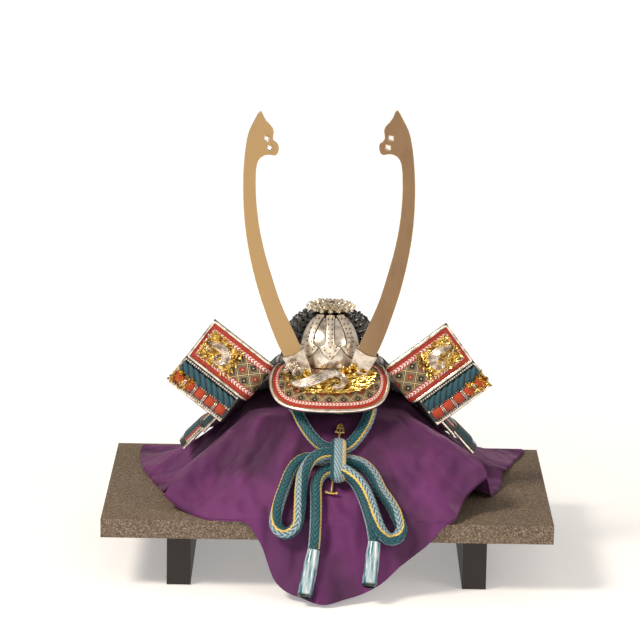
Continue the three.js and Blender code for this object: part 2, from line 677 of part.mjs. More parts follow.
const hornInner = [
  { out: 0.659, up: 0.828 }, { out: 0.722, up: 0.829 }, { out: 0.781, up: 0.821 }, { out: 0.822, up: 0.803 },
  { out: 0.843, up: 0.771 }, { out: 0.849, up: 0.73 }, { out: 0.847, up: 0.66 }, { out: 0.817, up: 0.551 },
  { out: 0.756, up: 0.444 }, { out: 0.677, up: 0.348 }, { out: 0.573, up: 0.236 }, { out: 0.37, up: 0.08 },
  { out: 0.235, up: -0.035 },
];
const hornPoint = ({ out, up }) => new THREE.Vector2(out * hornSpread, hornFootZ + up * hornHeight);
const hornCurve = (rows, steps) => new THREE.SplineCurve(rows.map(hornPoint)).getPoints(steps);
const heartHoles = [{ out: 0.722, up: 0.894 }, { out: 0.688, up: 0.857 }];
const heartRadius = 2.3;

function hornGeometry() {
  const shape = new THREE.Shape(hornOutline);
  for (const hole of heartHoles) {
    const { x, y } = hornPoint(hole);
    shape.holes.push(new THREE.Path().absarc(x, y, heartRadius, 0, 2 * Math.PI));
  }
  return new THREE.ExtrudeGeometry(shape, { depth: hornThickness, bevelEnabled: false, curveSegments: 5 })
    .translate(0, 0, -hornThickness / 2);
}

// A geometry drawn in the plan of X and Z is stood up at a depth, and mirrored for the left side.
// The pair of horns leans a little to the left.
function stand(geometry, y, sign) {
  const solid = geometry.clone().applyMatrix4(new THREE.Matrix4().set(
    sign, 0, 0, 0,
    0, 0, -1, y,
    0, 1, 0, 0,
    0, 0, 0, 1,
  )).translate(0, 0, -hornFootZ).rotateY(-radians(hornTilt)).translate(0, 0, hornFootZ);
  return fromFacesOut(solid);
}

function fromFacesOut(geometry) {
  const merged = mergeVertices(stripped(geometry), 1e-4);
  const { array } = merged.attributes.position;
  const points = Array.from({ length: array.length / 3 }, (_, k) => new THREE.Vector3().fromArray(array, 3 * k));
  const index = [...merged.index.array];
  const faces = Array.from({ length: index.length / 3 }, (_, k) => index.slice(3 * k, 3 * k + 3));
  return closedSolid(points, faces);
}

function stripped(geometry) {
  const bare = geometry.clone();
  bare.deleteAttribute('normal');
  bare.deleteAttribute('uv');
  return bare;
}

// Sockets: flared sleeves that the horns' feet stand in, cut out to take them
const hornFootOuter = hornPoint(hornOuter[0]);
const hornFootInner = hornPoint(hornInner[hornInner.length - 1]);
const hornLean = hornPoint({ out: 0.471, up: 0.059 }).sub(hornFootOuter.clone().add(hornFootInner).multiplyScalar(0.5)).normalize();
function socketGeometry() {
  const middle = hornFootOuter.clone().add(hornFootInner).multiplyScalar(0.5).addScaledVector(hornLean, hornTongue * 0.6);
  const side = new THREE.Vector2(hornLean.y, -hornLean.x);
  const half = hornFootOuter.distanceTo(hornFootInner) / 2 + socketWall;
  const corner = (a, b) => middle.clone().addScaledVector(hornLean, a).addScaledVector(side, b);
  const shape = new THREE.Shape([
    corner(-socketLength * 0.5, -half * 0.82), corner(-socketLength * 0.5, half * 0.82),
    corner(socketLength * 0.5, half * 1.12), corner(socketLength * 0.42, 0), corner(socketLength * 0.5, -half * 1.12),
  ]);
  const depth = hornThickness + 2 * socketWall + 2 * fitGap;
  return new THREE.ExtrudeGeometry(shape, { depth, bevelEnabled: false }).translate(0, 0, -depth / 2);
}
const hornOutline = [...hornCurve(hornOuter, 24), ...hornHead.map(hornPoint), ...hornCurve(hornInner, 25)];
const hornKeepOut = fromManifold(new wasm.CrossSection([hornOutline.map(({ x, y }) => [x, y])])
  .offset(fitGap, 'Miter').extrude(hornThickness + 2 * fitGap))
  .translate(0, 0, -hornThickness / 2 - fitGap);
const visorUnderHorns = toManifold(wall(visorGrid, visorFloor - 6, visorFloor + visorThickness + fitGap));
const baseKeepOut = toManifold(wall(hornBaseGrid(0.02), -6, hornBaseFloor + hornBaseThickness + 1.5 * fitGap));
for (const [side, sign] of [['left', -1], ['right', 1]]) {
  const horn = stand(hornGeometry(), hornPlaneY, sign);
  addMesh(`horn_${side}`, horn, finish.champagne);
  let socket = toManifold(stand(socketGeometry(), hornPlaneY, sign));
  socket = socket.subtract(toManifold(stand(hornKeepOut, hornPlaneY, sign)));
  socket = socket.subtract(visorUnderHorns).subtract(baseKeepOut);
  for (const leaf of goldLeaves) socket = socket.subtract(toManifold(visorLeaf(leaf, fitGap)));
  addMesh(`horn_socket_${side}`, fromManifold(socket), finish.silver);
}

// Neck guard. A station holds the top edge's point, the way down the lame and the way out of it, for the
// right half, from the middle of the back (0) round the side and the fold to the wing's end.
const guardTopZ = bandTop;
const lameGap = 1.7 * fitGap;
const guardHalfWidth = bowlHalfWidth + bandReach + lameGap;
const guardHalfLength = bowlHalfLength + bandReach + lameGap;
const wingDirection = () => {
  const rise = radians(wingRise);
  const lean = radians(wingLean);
  return vector(Math.cos(rise) * Math.cos(lean), Math.cos(rise) * Math.sin(lean), Math.sin(rise));
};
const wingDown = () => {
  const rise = radians(wingRise);
  return vector(Math.sin(rise), 0, -Math.cos(rise));
};

function guardStations() {
  const stations = [];
  const bodyDown = (out, dip) => out.clone().multiplyScalar(Math.cos(radians(dip))).add(vector(0, 0, -Math.sin(radians(dip))));
  const quarterSteps = 10;
  for (let k = 0; k <= quarterSteps; k += 1) {
    const angle = (Math.PI / 2) * (1 - k / quarterSteps);
    const out = vector(Math.cos(angle) / guardHalfWidth, Math.sin(angle) / guardHalfLength, 0).normalize();
    stations.push({
      part: 'body',
      top: vector(guardHalfWidth * Math.cos(angle), bowlCentreY + guardHalfLength * Math.sin(angle), guardTopZ),
      down: bodyDown(out, mix(guardBackDip, guardDip, smooth(k / quarterSteps))),
    });
  }
  const runSteps = 3;
  for (let k = 1; k <= runSteps; k += 1) {
    const t = k / runSteps;
    stations.push({
      part: 'side',
      top: vector(guardHalfWidth + sideFlare * t * t, bowlCentreY - sideRun * t, guardTopZ + sideRise * smooth(t)),
      down: bodyDown(vector(1, 0, 0), mix(guardDip, guardFrontDip, smooth(t))),
    });
  }
  const start = stations[stations.length - 1];
  const foldSteps = 6;
  for (let k = 1; k <= foldSteps; k += 1) {
    const t = k / foldSteps;
    const turn = radians(foldTurn) * t;
    const outward = foldRadius * (1 - Math.cos(turn));
    stations.push({
      part: 'fold',
      top: vector(
        start.top.x + outward,
        start.top.y - foldRadius * Math.sin(turn),
        start.top.z + outward * Math.tan(radians(wingRise)),
      ),
      down: start.down.clone().lerp(wingDown(), smooth(t)).normalize(),
    });
  }
  const bend = stations[stations.length - 1].top;
  const wingSteps = 5;
  for (let k = 1; k <= wingSteps; k += 1) {
    stations.push({
      part: 'wing',
      top: bend.clone().addScaledVector(wingDirection(), (wingLength * k) / wingSteps),
      down: wingDown(),
    });
  }
  stations.forEach((station, k) => {
    const before = stations[Math.max(k - 1, 0)].top;
    const after = stations[Math.min(k + 1, stations.length - 1)].top;
    const along = k === 0 ? vector(1, 0, 0) : after.clone().sub(before).normalize();
    station.out = along.cross(station.down).normalize();
  });
  return stations;
}
const rightStations = guardStations();
const mirrored = (v) => vector(-v.x, v.y, v.z);
const leftStations = rightStations.slice(1).reverse().map((s) => ({
  part: s.part, top: mirrored(s.top), down: mirrored(s.down), out: mirrored(s.out),
}));
const allStations = [...leftStations, ...rightStations];

function lameGrid(stations, from, to, rows) {
  return Array.from({ length: rows }, (_, i) => stations.map((s) => ({
    point: s.top.clone().addScaledVector(s.down, mix(from, to, i / (rows - 1))),
    normal: s.out,
  })));
}

const lameStarts = lameHeights.map((_, k) => lameHeights.slice(0, k).reduce((sum, h) => sum + h - lameOverlap, 0));
lameHeights.forEach((height, k) => {
  const winged = k < 2;
  const kept = allStations.filter((s) => winged || s.part === 'body'
    || (s.part === 'side' && s.top.y > bowlCentreY - lowerLameStart));
  const offset = k * (lameThickness + lameGap);
  addMesh(
    `neck_lame_${k + 1}`,
    wall(lameGrid(kept, lameStarts[k], lameStarts[k] + height, 2), offset, offset + lameThickness),
    finish.blackLacquer,
  );
});

// Wing facings, rims, reliefs and lacing, on the face that the fold turns to the front
const wingStations = rightStations.filter((s) => s.part === 'fold' || s.part === 'wing');
const sided = (stations, sign) => (sign > 0 ? stations : stations.map((s) => ({
  part: s.part, top: mirrored(s.top), down: mirrored(s.down), out: mirrored(s.out),
})));

function wingPoint(stations, along, down, offset) {
  const place = along * (stations.length - 1);
  const k = Math.min(Math.floor(place), stations.length - 2);
  const t = place - k;
  const a = stations[k];
  const b = stations[k + 1];
  const top = a.top.clone().lerp(b.top, t);
  const way = a.down.clone().lerp(b.down, t).normalize();
  const out = a.out.clone().lerp(b.out, t).normalize();
  return { point: top.addScaledVector(way, down).addScaledVector(out, offset), normal: out, down: way };
}

// A bar that follows a wing: from its top edge out round the end and back along its lower edge
function wingRim(stations, sign) {
  const inset = wingRimWidth / 2;
  const low = lameHeights[0] - inset;
  const path = [];
  stations.forEach((s) => path.push({ point: s.top.clone().addScaledVector(s.down, inset), normal: s.out }));
  const end = stations[stations.length - 1];
  const endPoint = end.top.clone().addScaledVector(stations[stations.length - 2].top.clone().sub(end.top).normalize(), inset);
  path[path.length - 1].point = endPoint.clone().addScaledVector(end.down, inset);
  path.push({ point: endPoint.clone().addScaledVector(end.down, low), normal: end.out });
  [...stations].reverse().slice(1).forEach((s) => {
    path.push({ point: s.top.clone().addScaledVector(s.down, low), normal: s.out });
  });
  const sections = path.map(({ point, normal }, k) => {
    const before = path[Math.max(k - 1, 0)].point;
    const after = path[Math.min(k + 1, path.length - 1)].point;
    const along = after.clone().sub(before).normalize();
    const across = along.cross(normal).normalize().multiplyScalar(sign * inset);
    const corner = (a, b) => point.clone().addScaledVector(across, a).addScaledVector(normal, -b);
    const near = fitGap;
    const far = fitGap + wingRimThickness;
    return [corner(-1, near), corner(1, near), corner(1, far), corner(-1, far)];
  });
  return sweep(sections);
}

function wingFacing(stations) {
  const edge = wingRimWidth + fitGap;
  const last = stations.length - 1;
  const grid = [0, 1].map((t) => stations.map((s, j) => {
    const top = j < last ? s.top : s.top.clone().lerp(stations[last - 1].top, edge / s.top.distanceTo(stations[last - 1].top));
    return { point: top.clone().addScaledVector(s.down, mix(edge, lameHeights[0] - edge, t)), normal: s.out };
  }));
  return wall(grid, -lameGap - facingThickness, -lameGap);
}

// Gold scrollwork on a wing: leaves fused to one thin plate. Columns as for the visor's leaves.
const wingLeaves = [
  { along: 0.4, down: 0.3, turn: 30, length: 14, width: 9 },
  { along: 0.4, down: 0.68, turn: -30, length: 14, width: 9 },
  { along: 0.6, down: 0.48, turn: 180, length: 14, width: 8 },
  { along: 0.86, down: 0.34, turn: 150, length: 13, width: 9 },
  { along: 0.88, down: 0.64, turn: 205, length: 13, width: 9 },
  { along: 0.66, down: 0.5, turn: 0, length: 15, width: 10 },
];
const scrollPlate = { from: 0.34, to: 0.92, top: 0.15, foot: 0.85, thickness: 1 };
function wingScroll(stations) {
  const floor = lameGap * 1.6 + facingThickness;
  const at = (along, down, offset) => wingPoint(stations, along, down * lameHeights[0], offset);
  const grid = [0, 1].map((i) => Array.from({ length: 7 }, (_, j) => at(
    mix(scrollPlate.from, scrollPlate.to, j / 6),
    i ? scrollPlate.foot : scrollPlate.top,
    0,
  )));
  const plate = wall(grid, -floor - scrollPlate.thickness, -floor);
  const leaves = wingLeaves.map(({ along, down, turn, length, width }) => {
    const { point, normal, down: way } = at(along, down, -floor - scrollPlate.thickness);
    const face = normal.clone().negate();
    const outward = way.clone().cross(face).normalize();
    if (outward.x * point.x < 0) outward.negate();
    const tip = outward.multiplyScalar(Math.cos(radians(turn))).addScaledVector(way, -Math.sin(radians(turn)));
    return reliefLeaf(point, point.clone().addScaledVector(tip, length), face, width, 3, 0.8);
  });
  return fuse(plate, leaves);
}

// A round bar along the second lame's wing, at a depth below the first lame's edge
function wingBar(stations, down, diameter, from, to) {
  const steps = 3;
  const sides = 8;
  const offset = lameThickness - diameter * 0.36;
  return sweep(Array.from({ length: steps + 1 }, (_, k) => {
    const { point, normal, down: way } = wingPoint(stations, mix(from, to, k / steps), down, offset);
    return Array.from({ length: sides }, (_s, j) => {
      const angle = (2 * Math.PI * (j + 0.5)) / sides;
      return point.clone().addScaledVector(way, (diameter / 2) * Math.cos(angle))
        .addScaledVector(normal, diameter * 0.34 * Math.sin(angle));
    });
  }));
}
const picotBand = 5;
const foldStepsBare = 3;
const panelStations = 1 + rightStations.filter((s) => s.part === 'wing').length;
const braidDown = lameHeights[0] + picotBand + braidDiameter / 2;
const puffDown = braidDown + braidDiameter / 2 + fitGap * 4 + puffDiameter / 2;
for (const [side, sign] of [['left', -1], ['right', 1]]) {
  const stations = sided(wingStations, sign);
  const panel = stations.slice(-panelStations);
  addMesh(`wing_rim_${side}`, wingRim(stations.slice(foldStepsBare), sign), finish.silver);
  addMesh(`wing_facing_${side}`, wingFacing(stations), finish.redLeather);
  addMesh(`wing_scroll_${side}`, wingScroll(panel), finish.gold);
  addMesh(`wing_braid_${side}`, wingBar(panel, braidDown, braidDiameter, 0.04, 0.97), finish.tealSilk);
  addMesh(`wing_puffs_${side}`, wingBar(panel, puffDown, puffDiameter, 0.04, 0.97), finish.orangeSilk);
}

// Chin cord: the centreline of each length, in the display's own axes. The neck loop goes from the knot up
// the cloth, back under the helmet round the post and down again; the bow's loops and ends start in the knot.
const neckLoop = [
  { x: 10, y: -100, z: 135 }, { x: 0, y: -99.5, z: 135.5 }, { x: -9, y: -96, z: 139 }, { x: -18.5, y: -88, z: 147 },
  { x: -27, y: -78, z: 157.5 }, { x: -33, y: -66.5, z: 167 }, { x: -36, y: -48, z: 166 }, { x: -38, y: -15, z: 165.6 },
  { x: -36, y: 18, z: 165.6 }, { x: -22, y: 42, z: 165.6 }, { x: 0, y: 50, z: 165.6 }, { x: 22, y: 42, z: 165.6 },
  { x: 37, y: 18, z: 165.6 }, { x: 40, y: -15, z: 165.6 }, { x: 42, y: -48, z: 166 }, { x: 42, y: -66.5, z: 167 },
  { x: 38, y: -78, z: 157.5 }, { x: 29.5, y: -89, z: 146 }, { x: 21, y: -96.5, z: 138.5 }, { x: 14, y: -99.5, z: 135.5 },
  { x: 8, y: -100, z: 135 },
];
const bowLoopLeft = [
  { x: 10, y: -108.8, z: 126 }, { x: -3, y: -108.5, z: 126.3 }, { x: -14, y: -108, z: 127 }, { x: -24, y: -109, z: 126.5 },
  { x: -31, y: -112.5, z: 123 }, { x: -37, y: -119.5, z: 116.5 }, { x: -42, y: -129.5, z: 106.5 },
  { x: -48.5, y: -147, z: 90.5 }, { x: -51.5, y: -162, z: 76 }, { x: -47.5, y: -165.5, z: 68.5 },
  { x: -40, y: -166.5, z: 66 }, { x: -31.5, y: -165.5, z: 72 }, { x: -28, y: -156, z: 86 }, { x: -27, y: -141, z: 103 },
  { x: -24, y: -129.5, z: 119 }, { x: -16.5, y: -122.5, z: 130 }, { x: -6.5, y: -119, z: 135 }, { x: 9, y: -118, z: 136.5 },
];
const bowLoopRight = [
  { x: 10, y: -108.8, z: 126 }, { x: 21.5, y: -109.3, z: 126 }, { x: 34.5, y: -112.3, z: 122.7 },
  { x: 45, y: -120.8, z: 114.2 }, { x: 53, y: -134, z: 102 }, { x: 63, y: -147, z: 91.3 }, { x: 69.5, y: -158, z: 81 },
  { x: 73, y: -165, z: 71.5 }, { x: 69, y: -168.5, z: 64 }, { x: 61, y: -170, z: 63 }, { x: 53, y: -171, z: 71 },
  { x: 47.5, y: -170, z: 84 }, { x: 42.5, y: -159, z: 96 }, { x: 36.5, y: -147.8, z: 107 }, { x: 28.5, y: -138.8, z: 115.3 },
  { x: 20.5, y: -132.7, z: 119.8 }, { x: 10, y: -129.5, z: 121.5 },
];
const cordEndLeft = [
  { x: 9, y: -117.6, z: 117 }, { x: -1, y: -118.5, z: 117 }, { x: -8, y: -123, z: 113 }, { x: -11.5, y: -131, z: 105.7 },
  { x: -11.5, y: -143.5, z: 94 }, { x: -11.5, y: -160, z: 78.8 }, { x: -12.2, y: -169.5, z: 63 }, { x: -13, y: -173, z: 52.5 },
];
const cordEndRight = [
  { x: 10, y: -117.2, z: 116.7 }, { x: 21, y: -121.5, z: 113 }, { x: 29, y: -129, z: 106.5 }, { x: 35, y: -139.5, z: 97 },
  { x: 40, y: -151.5, z: 85.5 }, { x: 44, y: -161.5, z: 73 }, { x: 46.5, y: -166, z: 59.5 },
];
const sleeveTips = { left: { x: -21.2, y: -196.5, z: 9.4 }, right: { x: 42.1, y: -189, z: 19 } };
const cordLengths = [
  { name: 'cord_neck', path: neckLoop, steps: 28 },
  { name: 'cord_loop_left', path: bowLoopLeft, steps: 17 },
  { name: 'cord_loop_right', path: bowLoopRight, steps: 17 },
  { name: 'cord_end_left', path: cordEndLeft, steps: 8 },
  { name: 'cord_end_right', path: cordEndRight, steps: 7 },
];

function cordTube(path, steps) {
  const curve = new THREE.CatmullRomCurve3(path.map(({ x, y, z }) => vector(x, y, z)), false, 'centripetal');
  const outline = Array.from({ length: cordSides }, (_, k) => {
    const angle = (2 * Math.PI * (k + 0.5)) / cordSides;
    return new THREE.Vector2((cordDiameter / 2) * Math.cos(angle), (cordDiameter / 2) * Math.sin(angle));
  });
  return new THREE.ExtrudeGeometry(new THREE.Shape(outline), { steps, extrudePath: curve, bevelEnabled: false });
}

// Knot: the cord's turn round the crossing, an oval band that stands on the cloth's slope
const knotCentre = vector(10, -116.2, 128);
const clothSlope = 45.5;
function knotBand(extra) {
  const half = { up: knotHeight / 2 - knotRounding + extra, out: knotDepth / 2 - knotRounding + extra };
  const outline = Array.from({ length: knotSides }, (_, k) => {
    const angle = (2 * Math.PI * (k + 0.5)) / knotSides;
    const squarish = (v) => Math.sign(v) * Math.abs(v) ** 0.75;
    return new THREE.Vector2(half.up * squarish(Math.cos(angle)), half.out * squarish(Math.sin(angle)));
  });
  const depth = knotWidth - 2 * knotRounding + 2 * extra;
  return stripped(new THREE.ExtrudeGeometry(new THREE.Shape(outline), {
    depth, bevelThickness: knotRounding, bevelSize: knotRounding, bevelSegments: 1,
  }).translate(0, 0, -depth / 2)
    .applyMatrix4(new THREE.Matrix4().set(0, 0, 1, 0, 1, 0, 0, 0, 0, 1, 0, 0, 0, 0, 0, 1))
    .rotateX(radians(clothSlope))
    .translate(...knotCentre.toArray()));
}

// Pin: a rod through the knot along the slope, with a pierced ornament above and a crossbar below
function rodBetween(start, end, radius, sides) {
  const along = end.clone().sub(start);
  return stripped(new THREE.CylinderGeometry(radius, radius, along.length(), sides)
    .applyQuaternion(new THREE.Quaternion().setFromUnitVectors(vector(0, 1, 0), along.clone().normalize()))
    .translate(...start.clone().add(end).multiplyScalar(0.5).toArray()));
}
const pinTop = vector(12.2, -77.8, 155.8);
const pinFoot = vector(3.5, -133.5, 99.5);
const pinWay = pinTop.clone().sub(pinFoot).normalize();
const pinSide = vector(1, 0, 0).addScaledVector(pinWay, -pinWay.x).normalize();
const pinPoint = (fromTop, aside) => pinTop.clone().addScaledVector(pinWay, -fromTop).addScaledVector(pinSide, aside);
function pinRod(radius) {
  return rodBetween(pinFoot, pinTop, radius, 6);
}
const pinOrnament = [
  rodBetween(pinPoint(1, -2.6), pinPoint(1, 2.6), 1.5, 5),
  rodBetween(pinPoint(5, -3.4), pinPoint(5, 3.4), 1.6, 5),
  rodBetween(pinPoint(9.5, -4.6), pinPoint(9.5, 4.6), 1.5, 5),
  rodBetween(pinPoint(1, -2.6), pinPoint(5, -3.4), 1.1, 4),
  rodBetween(pinPoint(1, 2.6), pinPoint(5, 3.4), 1.1, 4),
];
const pinCrossbar = rodBetween(pinFoot.clone().addScaledVector(pinSide, -6), pinFoot.clone().addScaledVector(pinSide, 6), 1.5, 5);
addMesh('knot_pin', fuse(pinRod(pinDiameter / 2), [...pinOrnament, pinCrossbar]), finish.gold);

const knotSolid = toManifold(fromFacesOut(knotBand(0))).subtract(toManifold(pinRod(pinDiameter / 2 + fitGap)));
const knotCore = knotWidth - 2 * knotRounding;
const knotAndGap = toManifold(fromFacesOut(knotBand(fitGap)))
  .add(toManifold(stripped(new THREE.BoxGeometry(knotCore, 2 * knotHeight, 2 * knotDepth).translate(...knotCentre.toArray()))));
addMesh('cord_knot', fromManifold(largestBody(knotSolid)), finish.tealSilk);
for (const { name, path, steps } of cordLengths) {
  addMesh(name, fromManifold(largestBody(toManifold(cordTube(path, steps)).subtract(knotAndGap))), finish.tealSilk);
}

// Clear sleeves with the silk ends in them
for (const [side, path] of [['left', cordEndLeft], ['right', cordEndRight]]) {
  const { x, y, z } = path[path.length - 1];
  const tip = vector(sleeveTips[side].x, sleeveTips[side].y, sleeveTips[side].z);
  const start = vector(x, y, z);
  start.addScaledVector(tip.clone().sub(start).normalize(), sleeveGap);
  addMesh(`cord_sleeve_${side}`, rodBetween(start, tip, sleeveDiameter / 2, 12), finish.silkEnds);
}

export default display;
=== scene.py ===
# %% [markdown]
# The scene rebuilds a miniature samurai helmet on its draped stand, piece by piece, on top of the CAD model.
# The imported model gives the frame: metres, +Z up, the front facing -Y. Sizes below are in millimetres,
# measured from the middle of the table, and one function turns them into the frame's metres.

import math
import random

import bmesh
import bpy
from mathutils import Matrix, Vector


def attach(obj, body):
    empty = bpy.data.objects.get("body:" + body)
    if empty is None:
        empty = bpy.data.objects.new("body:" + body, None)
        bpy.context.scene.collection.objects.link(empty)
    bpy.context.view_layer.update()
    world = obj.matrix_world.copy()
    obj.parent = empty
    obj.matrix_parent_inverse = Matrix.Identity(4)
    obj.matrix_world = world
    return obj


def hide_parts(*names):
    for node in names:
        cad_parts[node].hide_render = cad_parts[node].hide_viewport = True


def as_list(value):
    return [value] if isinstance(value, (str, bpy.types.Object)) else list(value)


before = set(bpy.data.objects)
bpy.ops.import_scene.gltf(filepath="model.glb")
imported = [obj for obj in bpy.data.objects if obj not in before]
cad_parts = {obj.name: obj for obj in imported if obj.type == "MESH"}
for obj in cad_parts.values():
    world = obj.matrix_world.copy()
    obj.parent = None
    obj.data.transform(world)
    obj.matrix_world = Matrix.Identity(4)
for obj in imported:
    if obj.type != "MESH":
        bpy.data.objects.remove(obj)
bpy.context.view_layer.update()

DISPLAY_SHIFT = 0.0256


def placed(point):
    """A point in millimetres, from the middle of the table, in the frame's metres."""
    return Vector((point[0] / 1000, point[1] / 1000 + DISPLAY_SHIFT, point[2] / 1000))


def mix(a, b, t):
    return a + (b - a) * t


def smooth(t):
    return t * t * (3 - 2 * t)


def limited(value, low=0.0, high=1.0):
    return max(low, min(high, value))


# %% [markdown]
# The camera stands where the photographer's did: a long lens about three and a half metres away, a metre up,
# looking a little down. A long lens keeps the horns and the table's edges nearly parallel, as the photograph does.

# %% Camera
lens = bpy.data.cameras.new("photo_camera")
lens.sensor_width = 36
lens.lens = 193.9
camera = bpy.data.objects.new("photo_camera", lens)
bpy.context.scene.collection.objects.link(camera)
camera.matrix_world = (
    Matrix.Translation(placed((-13.1, -3443, 1008)))
    @ Matrix.Rotation(math.radians(-0.042), 4, "Z")
    @ Matrix.Rotation(math.radians(90 - 12.49), 4, "X")
    @ Matrix.Rotation(math.radians(0.96), 4, "Z")
)
bpy.context.scene.camera = camera
bpy.context.scene.view_settings.view_transform = "Standard"
print(f"camera: a {lens.lens} mm lens, {camera.matrix_world.translation.length:.2f} m from the frame's origin")

# %% [markdown]
# Every piece is gathered as grids of points and turned into one mesh. A grid is what a patternmaker would
# draw: rows and columns on the real surface, with its flat coordinates in millimetres, so that a woven or
# stencilled pattern keeps its true scale wherever the surface bends. A second set of coordinates holds the
# distance from the piece's edge, which borders and stitching follow.


# %% Mesh tools
class Gathered:
    """One piece's points, faces, flat coordinates and finishes, before its mesh is made."""

    def __init__(self):
        self.points, self.faces, self.flats, self.edges, self.slots = [], [], [], [], []

    def face(self, corners, flats=None, edges=None, slot=0):
        self.faces.append(corners)
        self.flats.append(flats or [(0, 0)] * len(corners))
        self.edges.append(edges or [(50, 0)] * len(corners))
        self.slots.append(slot)

    def grid(self, rows, flat=None, edge=None, around=False, slot=0, flip=False):
        start, wide = len(self.points), len(rows[0])
        for row in rows:
            self.points.extend(row)
        for i in range(len(rows) - 1):
            for j in range(wide if around else wide - 1):
                k = (j + 1) % wide
                corners = [
                    start + i * wide + j, start + i * wide + k, start + (i + 1) * wide + k, start + (i + 1) * wide + j
                ]
                cells = [(i, j), (i, j + 1), (i + 1, j + 1), (i + 1, j)]
                if flip:
                    corners.reverse()
                    cells.reverse()
                self.face(
                    corners,
                    [flat(*c) for c in cells] if flat else None,
                    [edge(*c) for c in cells] if edge else None,
                    slot,
                )
        return start

    def cap(self, start, count, flip=False, edge=(50, 0)):
        ring = list(range(start, start + count))
        if flip:
            ring.reverse()
        self.face(ring, edges=[edge] * count)

    def tube(self, rings):
        start = self.grid(rings, around=True)
        self.cap(start, len(rings[0]), flip=True)
        self.cap(start + (len(rings) - 1) * len(rings[0]), len(rings[0]))

    def wall(
        self, rows, normals, inner, outer, flat=None, edge=None, slot=0, back_slot=None, around=False, rim_slot=None
    ):
        """A sheet between two offsets along its normals, closed by rims all round."""
        back_slot = slot if back_slot is None else back_slot
        rim_slot = slot if rim_slot is None else rim_slot
        last, wide = len(rows) - 1, len(rows[0])
        shifted = lambda d: [[p + n * d for p, n in zip(row, ns)] for row, ns in zip(rows, normals)]
        top, under = shifted(outer), shifted(inner)
        self.grid(top, flat, edge, around, slot)
        self.grid(under, flat, edge, around, back_slot, flip=True)
        self.grid([under[0], top[0]], None, None, around, rim_slot)
        self.grid([top[last], under[last]], None, None, around, rim_slot)
        if not around:
            self.grid([[row[0] for row in top], [row[0] for row in under]], slot=rim_slot)
            self.grid([[row[-1] for row in under], [row[-1] for row in top]], slot=rim_slot)

    def made(self, name, materials, slot=None, stands_for=(), sharp=35):
        mesh = bpy.data.meshes.new(name)
        mesh.from_pydata([placed(p) for p in self.points], [], self.faces)
        for layer_name, source in (("Flat", self.flats), ("Edge", self.edges)):
            layer = mesh.uv_layers.new(name=layer_name)
            values = [c for corners in source for uv in corners for c in uv]
            layer.data.foreach_set("uv", values)
        for material in materials:
            mesh.materials.append(material)
        mesh.polygons.foreach_set("material_index", self.slots)
        mesh.polygons.foreach_set("use_smooth", [True] * len(self.faces))
        closed_up(mesh)
        mesh.set_sharp_from_angle(angle=math.radians(sharp))
        return added(name, mesh, stands_for)


def closed_up(mesh):
    """Join points that meet within a fiftieth of a millimetre, and turn all faces outwards."""
    work = bmesh.new()
    work.from_mesh(mesh)
    bmesh.ops.remove_doubles(work, verts=work.verts, dist=0.02 / 1000)
    bmesh.ops.recalc_face_normals(work, faces=work.faces)
    work.to_mesh(mesh)
    work.free()


def added(name, mesh, stands_for=()):
    """Put a finished mesh in the scene, on the one body, in the place of its CAD nodes."""
    piece = bpy.data.objects.new(name, mesh)
    bpy.context.scene.collection.objects.link(piece)
    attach(piece, "root")
    if stands_for:
        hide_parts(*stands_for)
    print(f"{name}: {len(mesh.polygons)} faces")
    return piece


print("a piece keeps its flat coordinates in the layers Flat and Edge, both in millimetres")

# %% [markdown]
# Cords, rims and cast waves follow smooth lines through a few measured points. They could be Bezier curves, but
# a centripetal spline passes through every point and never loops between two close ones, so it was chosen. Its
# points are spread evenly along its length, which keeps the faces of a cord nearly square.


# %% Smooth lines


def grid_normals(rows, around=False, toward=None):
    """Unit normals of a grid, on the side that toward(point) names."""
    result = []
    for i, row in enumerate(rows):
        line = []
        for j, point in enumerate(row):
            up, down = rows[max(i - 1, 0)][j], rows[min(i + 1, len(rows) - 1)][j]
            left = row[(j - 1) % len(row)] if around else row[max(j - 1, 0)]
            right = row[(j + 1) % len(row)] if around else row[min(j + 1, len(row) - 1)]
            normal = (down - up).cross(right - left).normalized()
            if toward and normal.dot(toward(point)) < 0:
                normal.negate()
            line.append(normal)
        result.append(line)
    return result


def spline(points, steps):
    """Points on a smooth centripetal curve through the given ones, evenly spaced."""
    source = [Vector(p) for p in points]
    fine = []
    count = len(source)
    for k in range(count - 1):
        b, c = source[k], source[k + 1]
        a = source[k - 1] if k else b * 2 - c
        d = source[k + 2] if k + 2 < count else c * 2 - b
        t = [0.0]
        for p, q in ((a, b), (b, c), (c, d)):
            t.append(t[-1] + max((q - p).length, 1e-6) ** 0.5)
        for s in range(24):
            x = mix(t[1], t[2], s / 24)
            lerp = lambda p, q, lo, hi: p + (q - p) * ((x - lo) / (hi - lo))
            ab, bc, cd = lerp(a, b, t[0], t[1]), lerp(b, c, t[1], t[2]), lerp(c, d, t[2], t[3])
            fine.append(lerp(lerp(ab, bc, t[0], t[2]), lerp(bc, cd, t[1], t[3]), t[1], t[2]))
    fine.append(source[-1].copy())
    lengths = [0.0]
    for p, q in zip(fine, fine[1:]):
        lengths.append(lengths[-1] + (q - p).length)
    result, k = [], 0
    for s in range(steps + 1):
        goal = lengths[-1] * s / steps
        while k < len(fine) - 2 and lengths[k + 1] < goal:
            k += 1
        span = max(lengths[k + 1] - lengths[k], 1e-9)
        result.append(fine[k].lerp(fine[k + 1], limited((goal - lengths[k]) / span)))
    return result


def tangents(line):
    last = len(line) - 1
    return [(line[min(k + 1, last)] - line[max(k - 1, 0)]).normalized() for k in range(last + 1)]


def table_value(rows, t):
    """A value on straight lines through (place, value) rows."""
    for (a, x), (b, y) in zip(rows, rows[1:]):
        if t <= b:
            return mix(x, y, limited((t - a) / max(b - a, 1e-9)))
    return rows[-1][1]


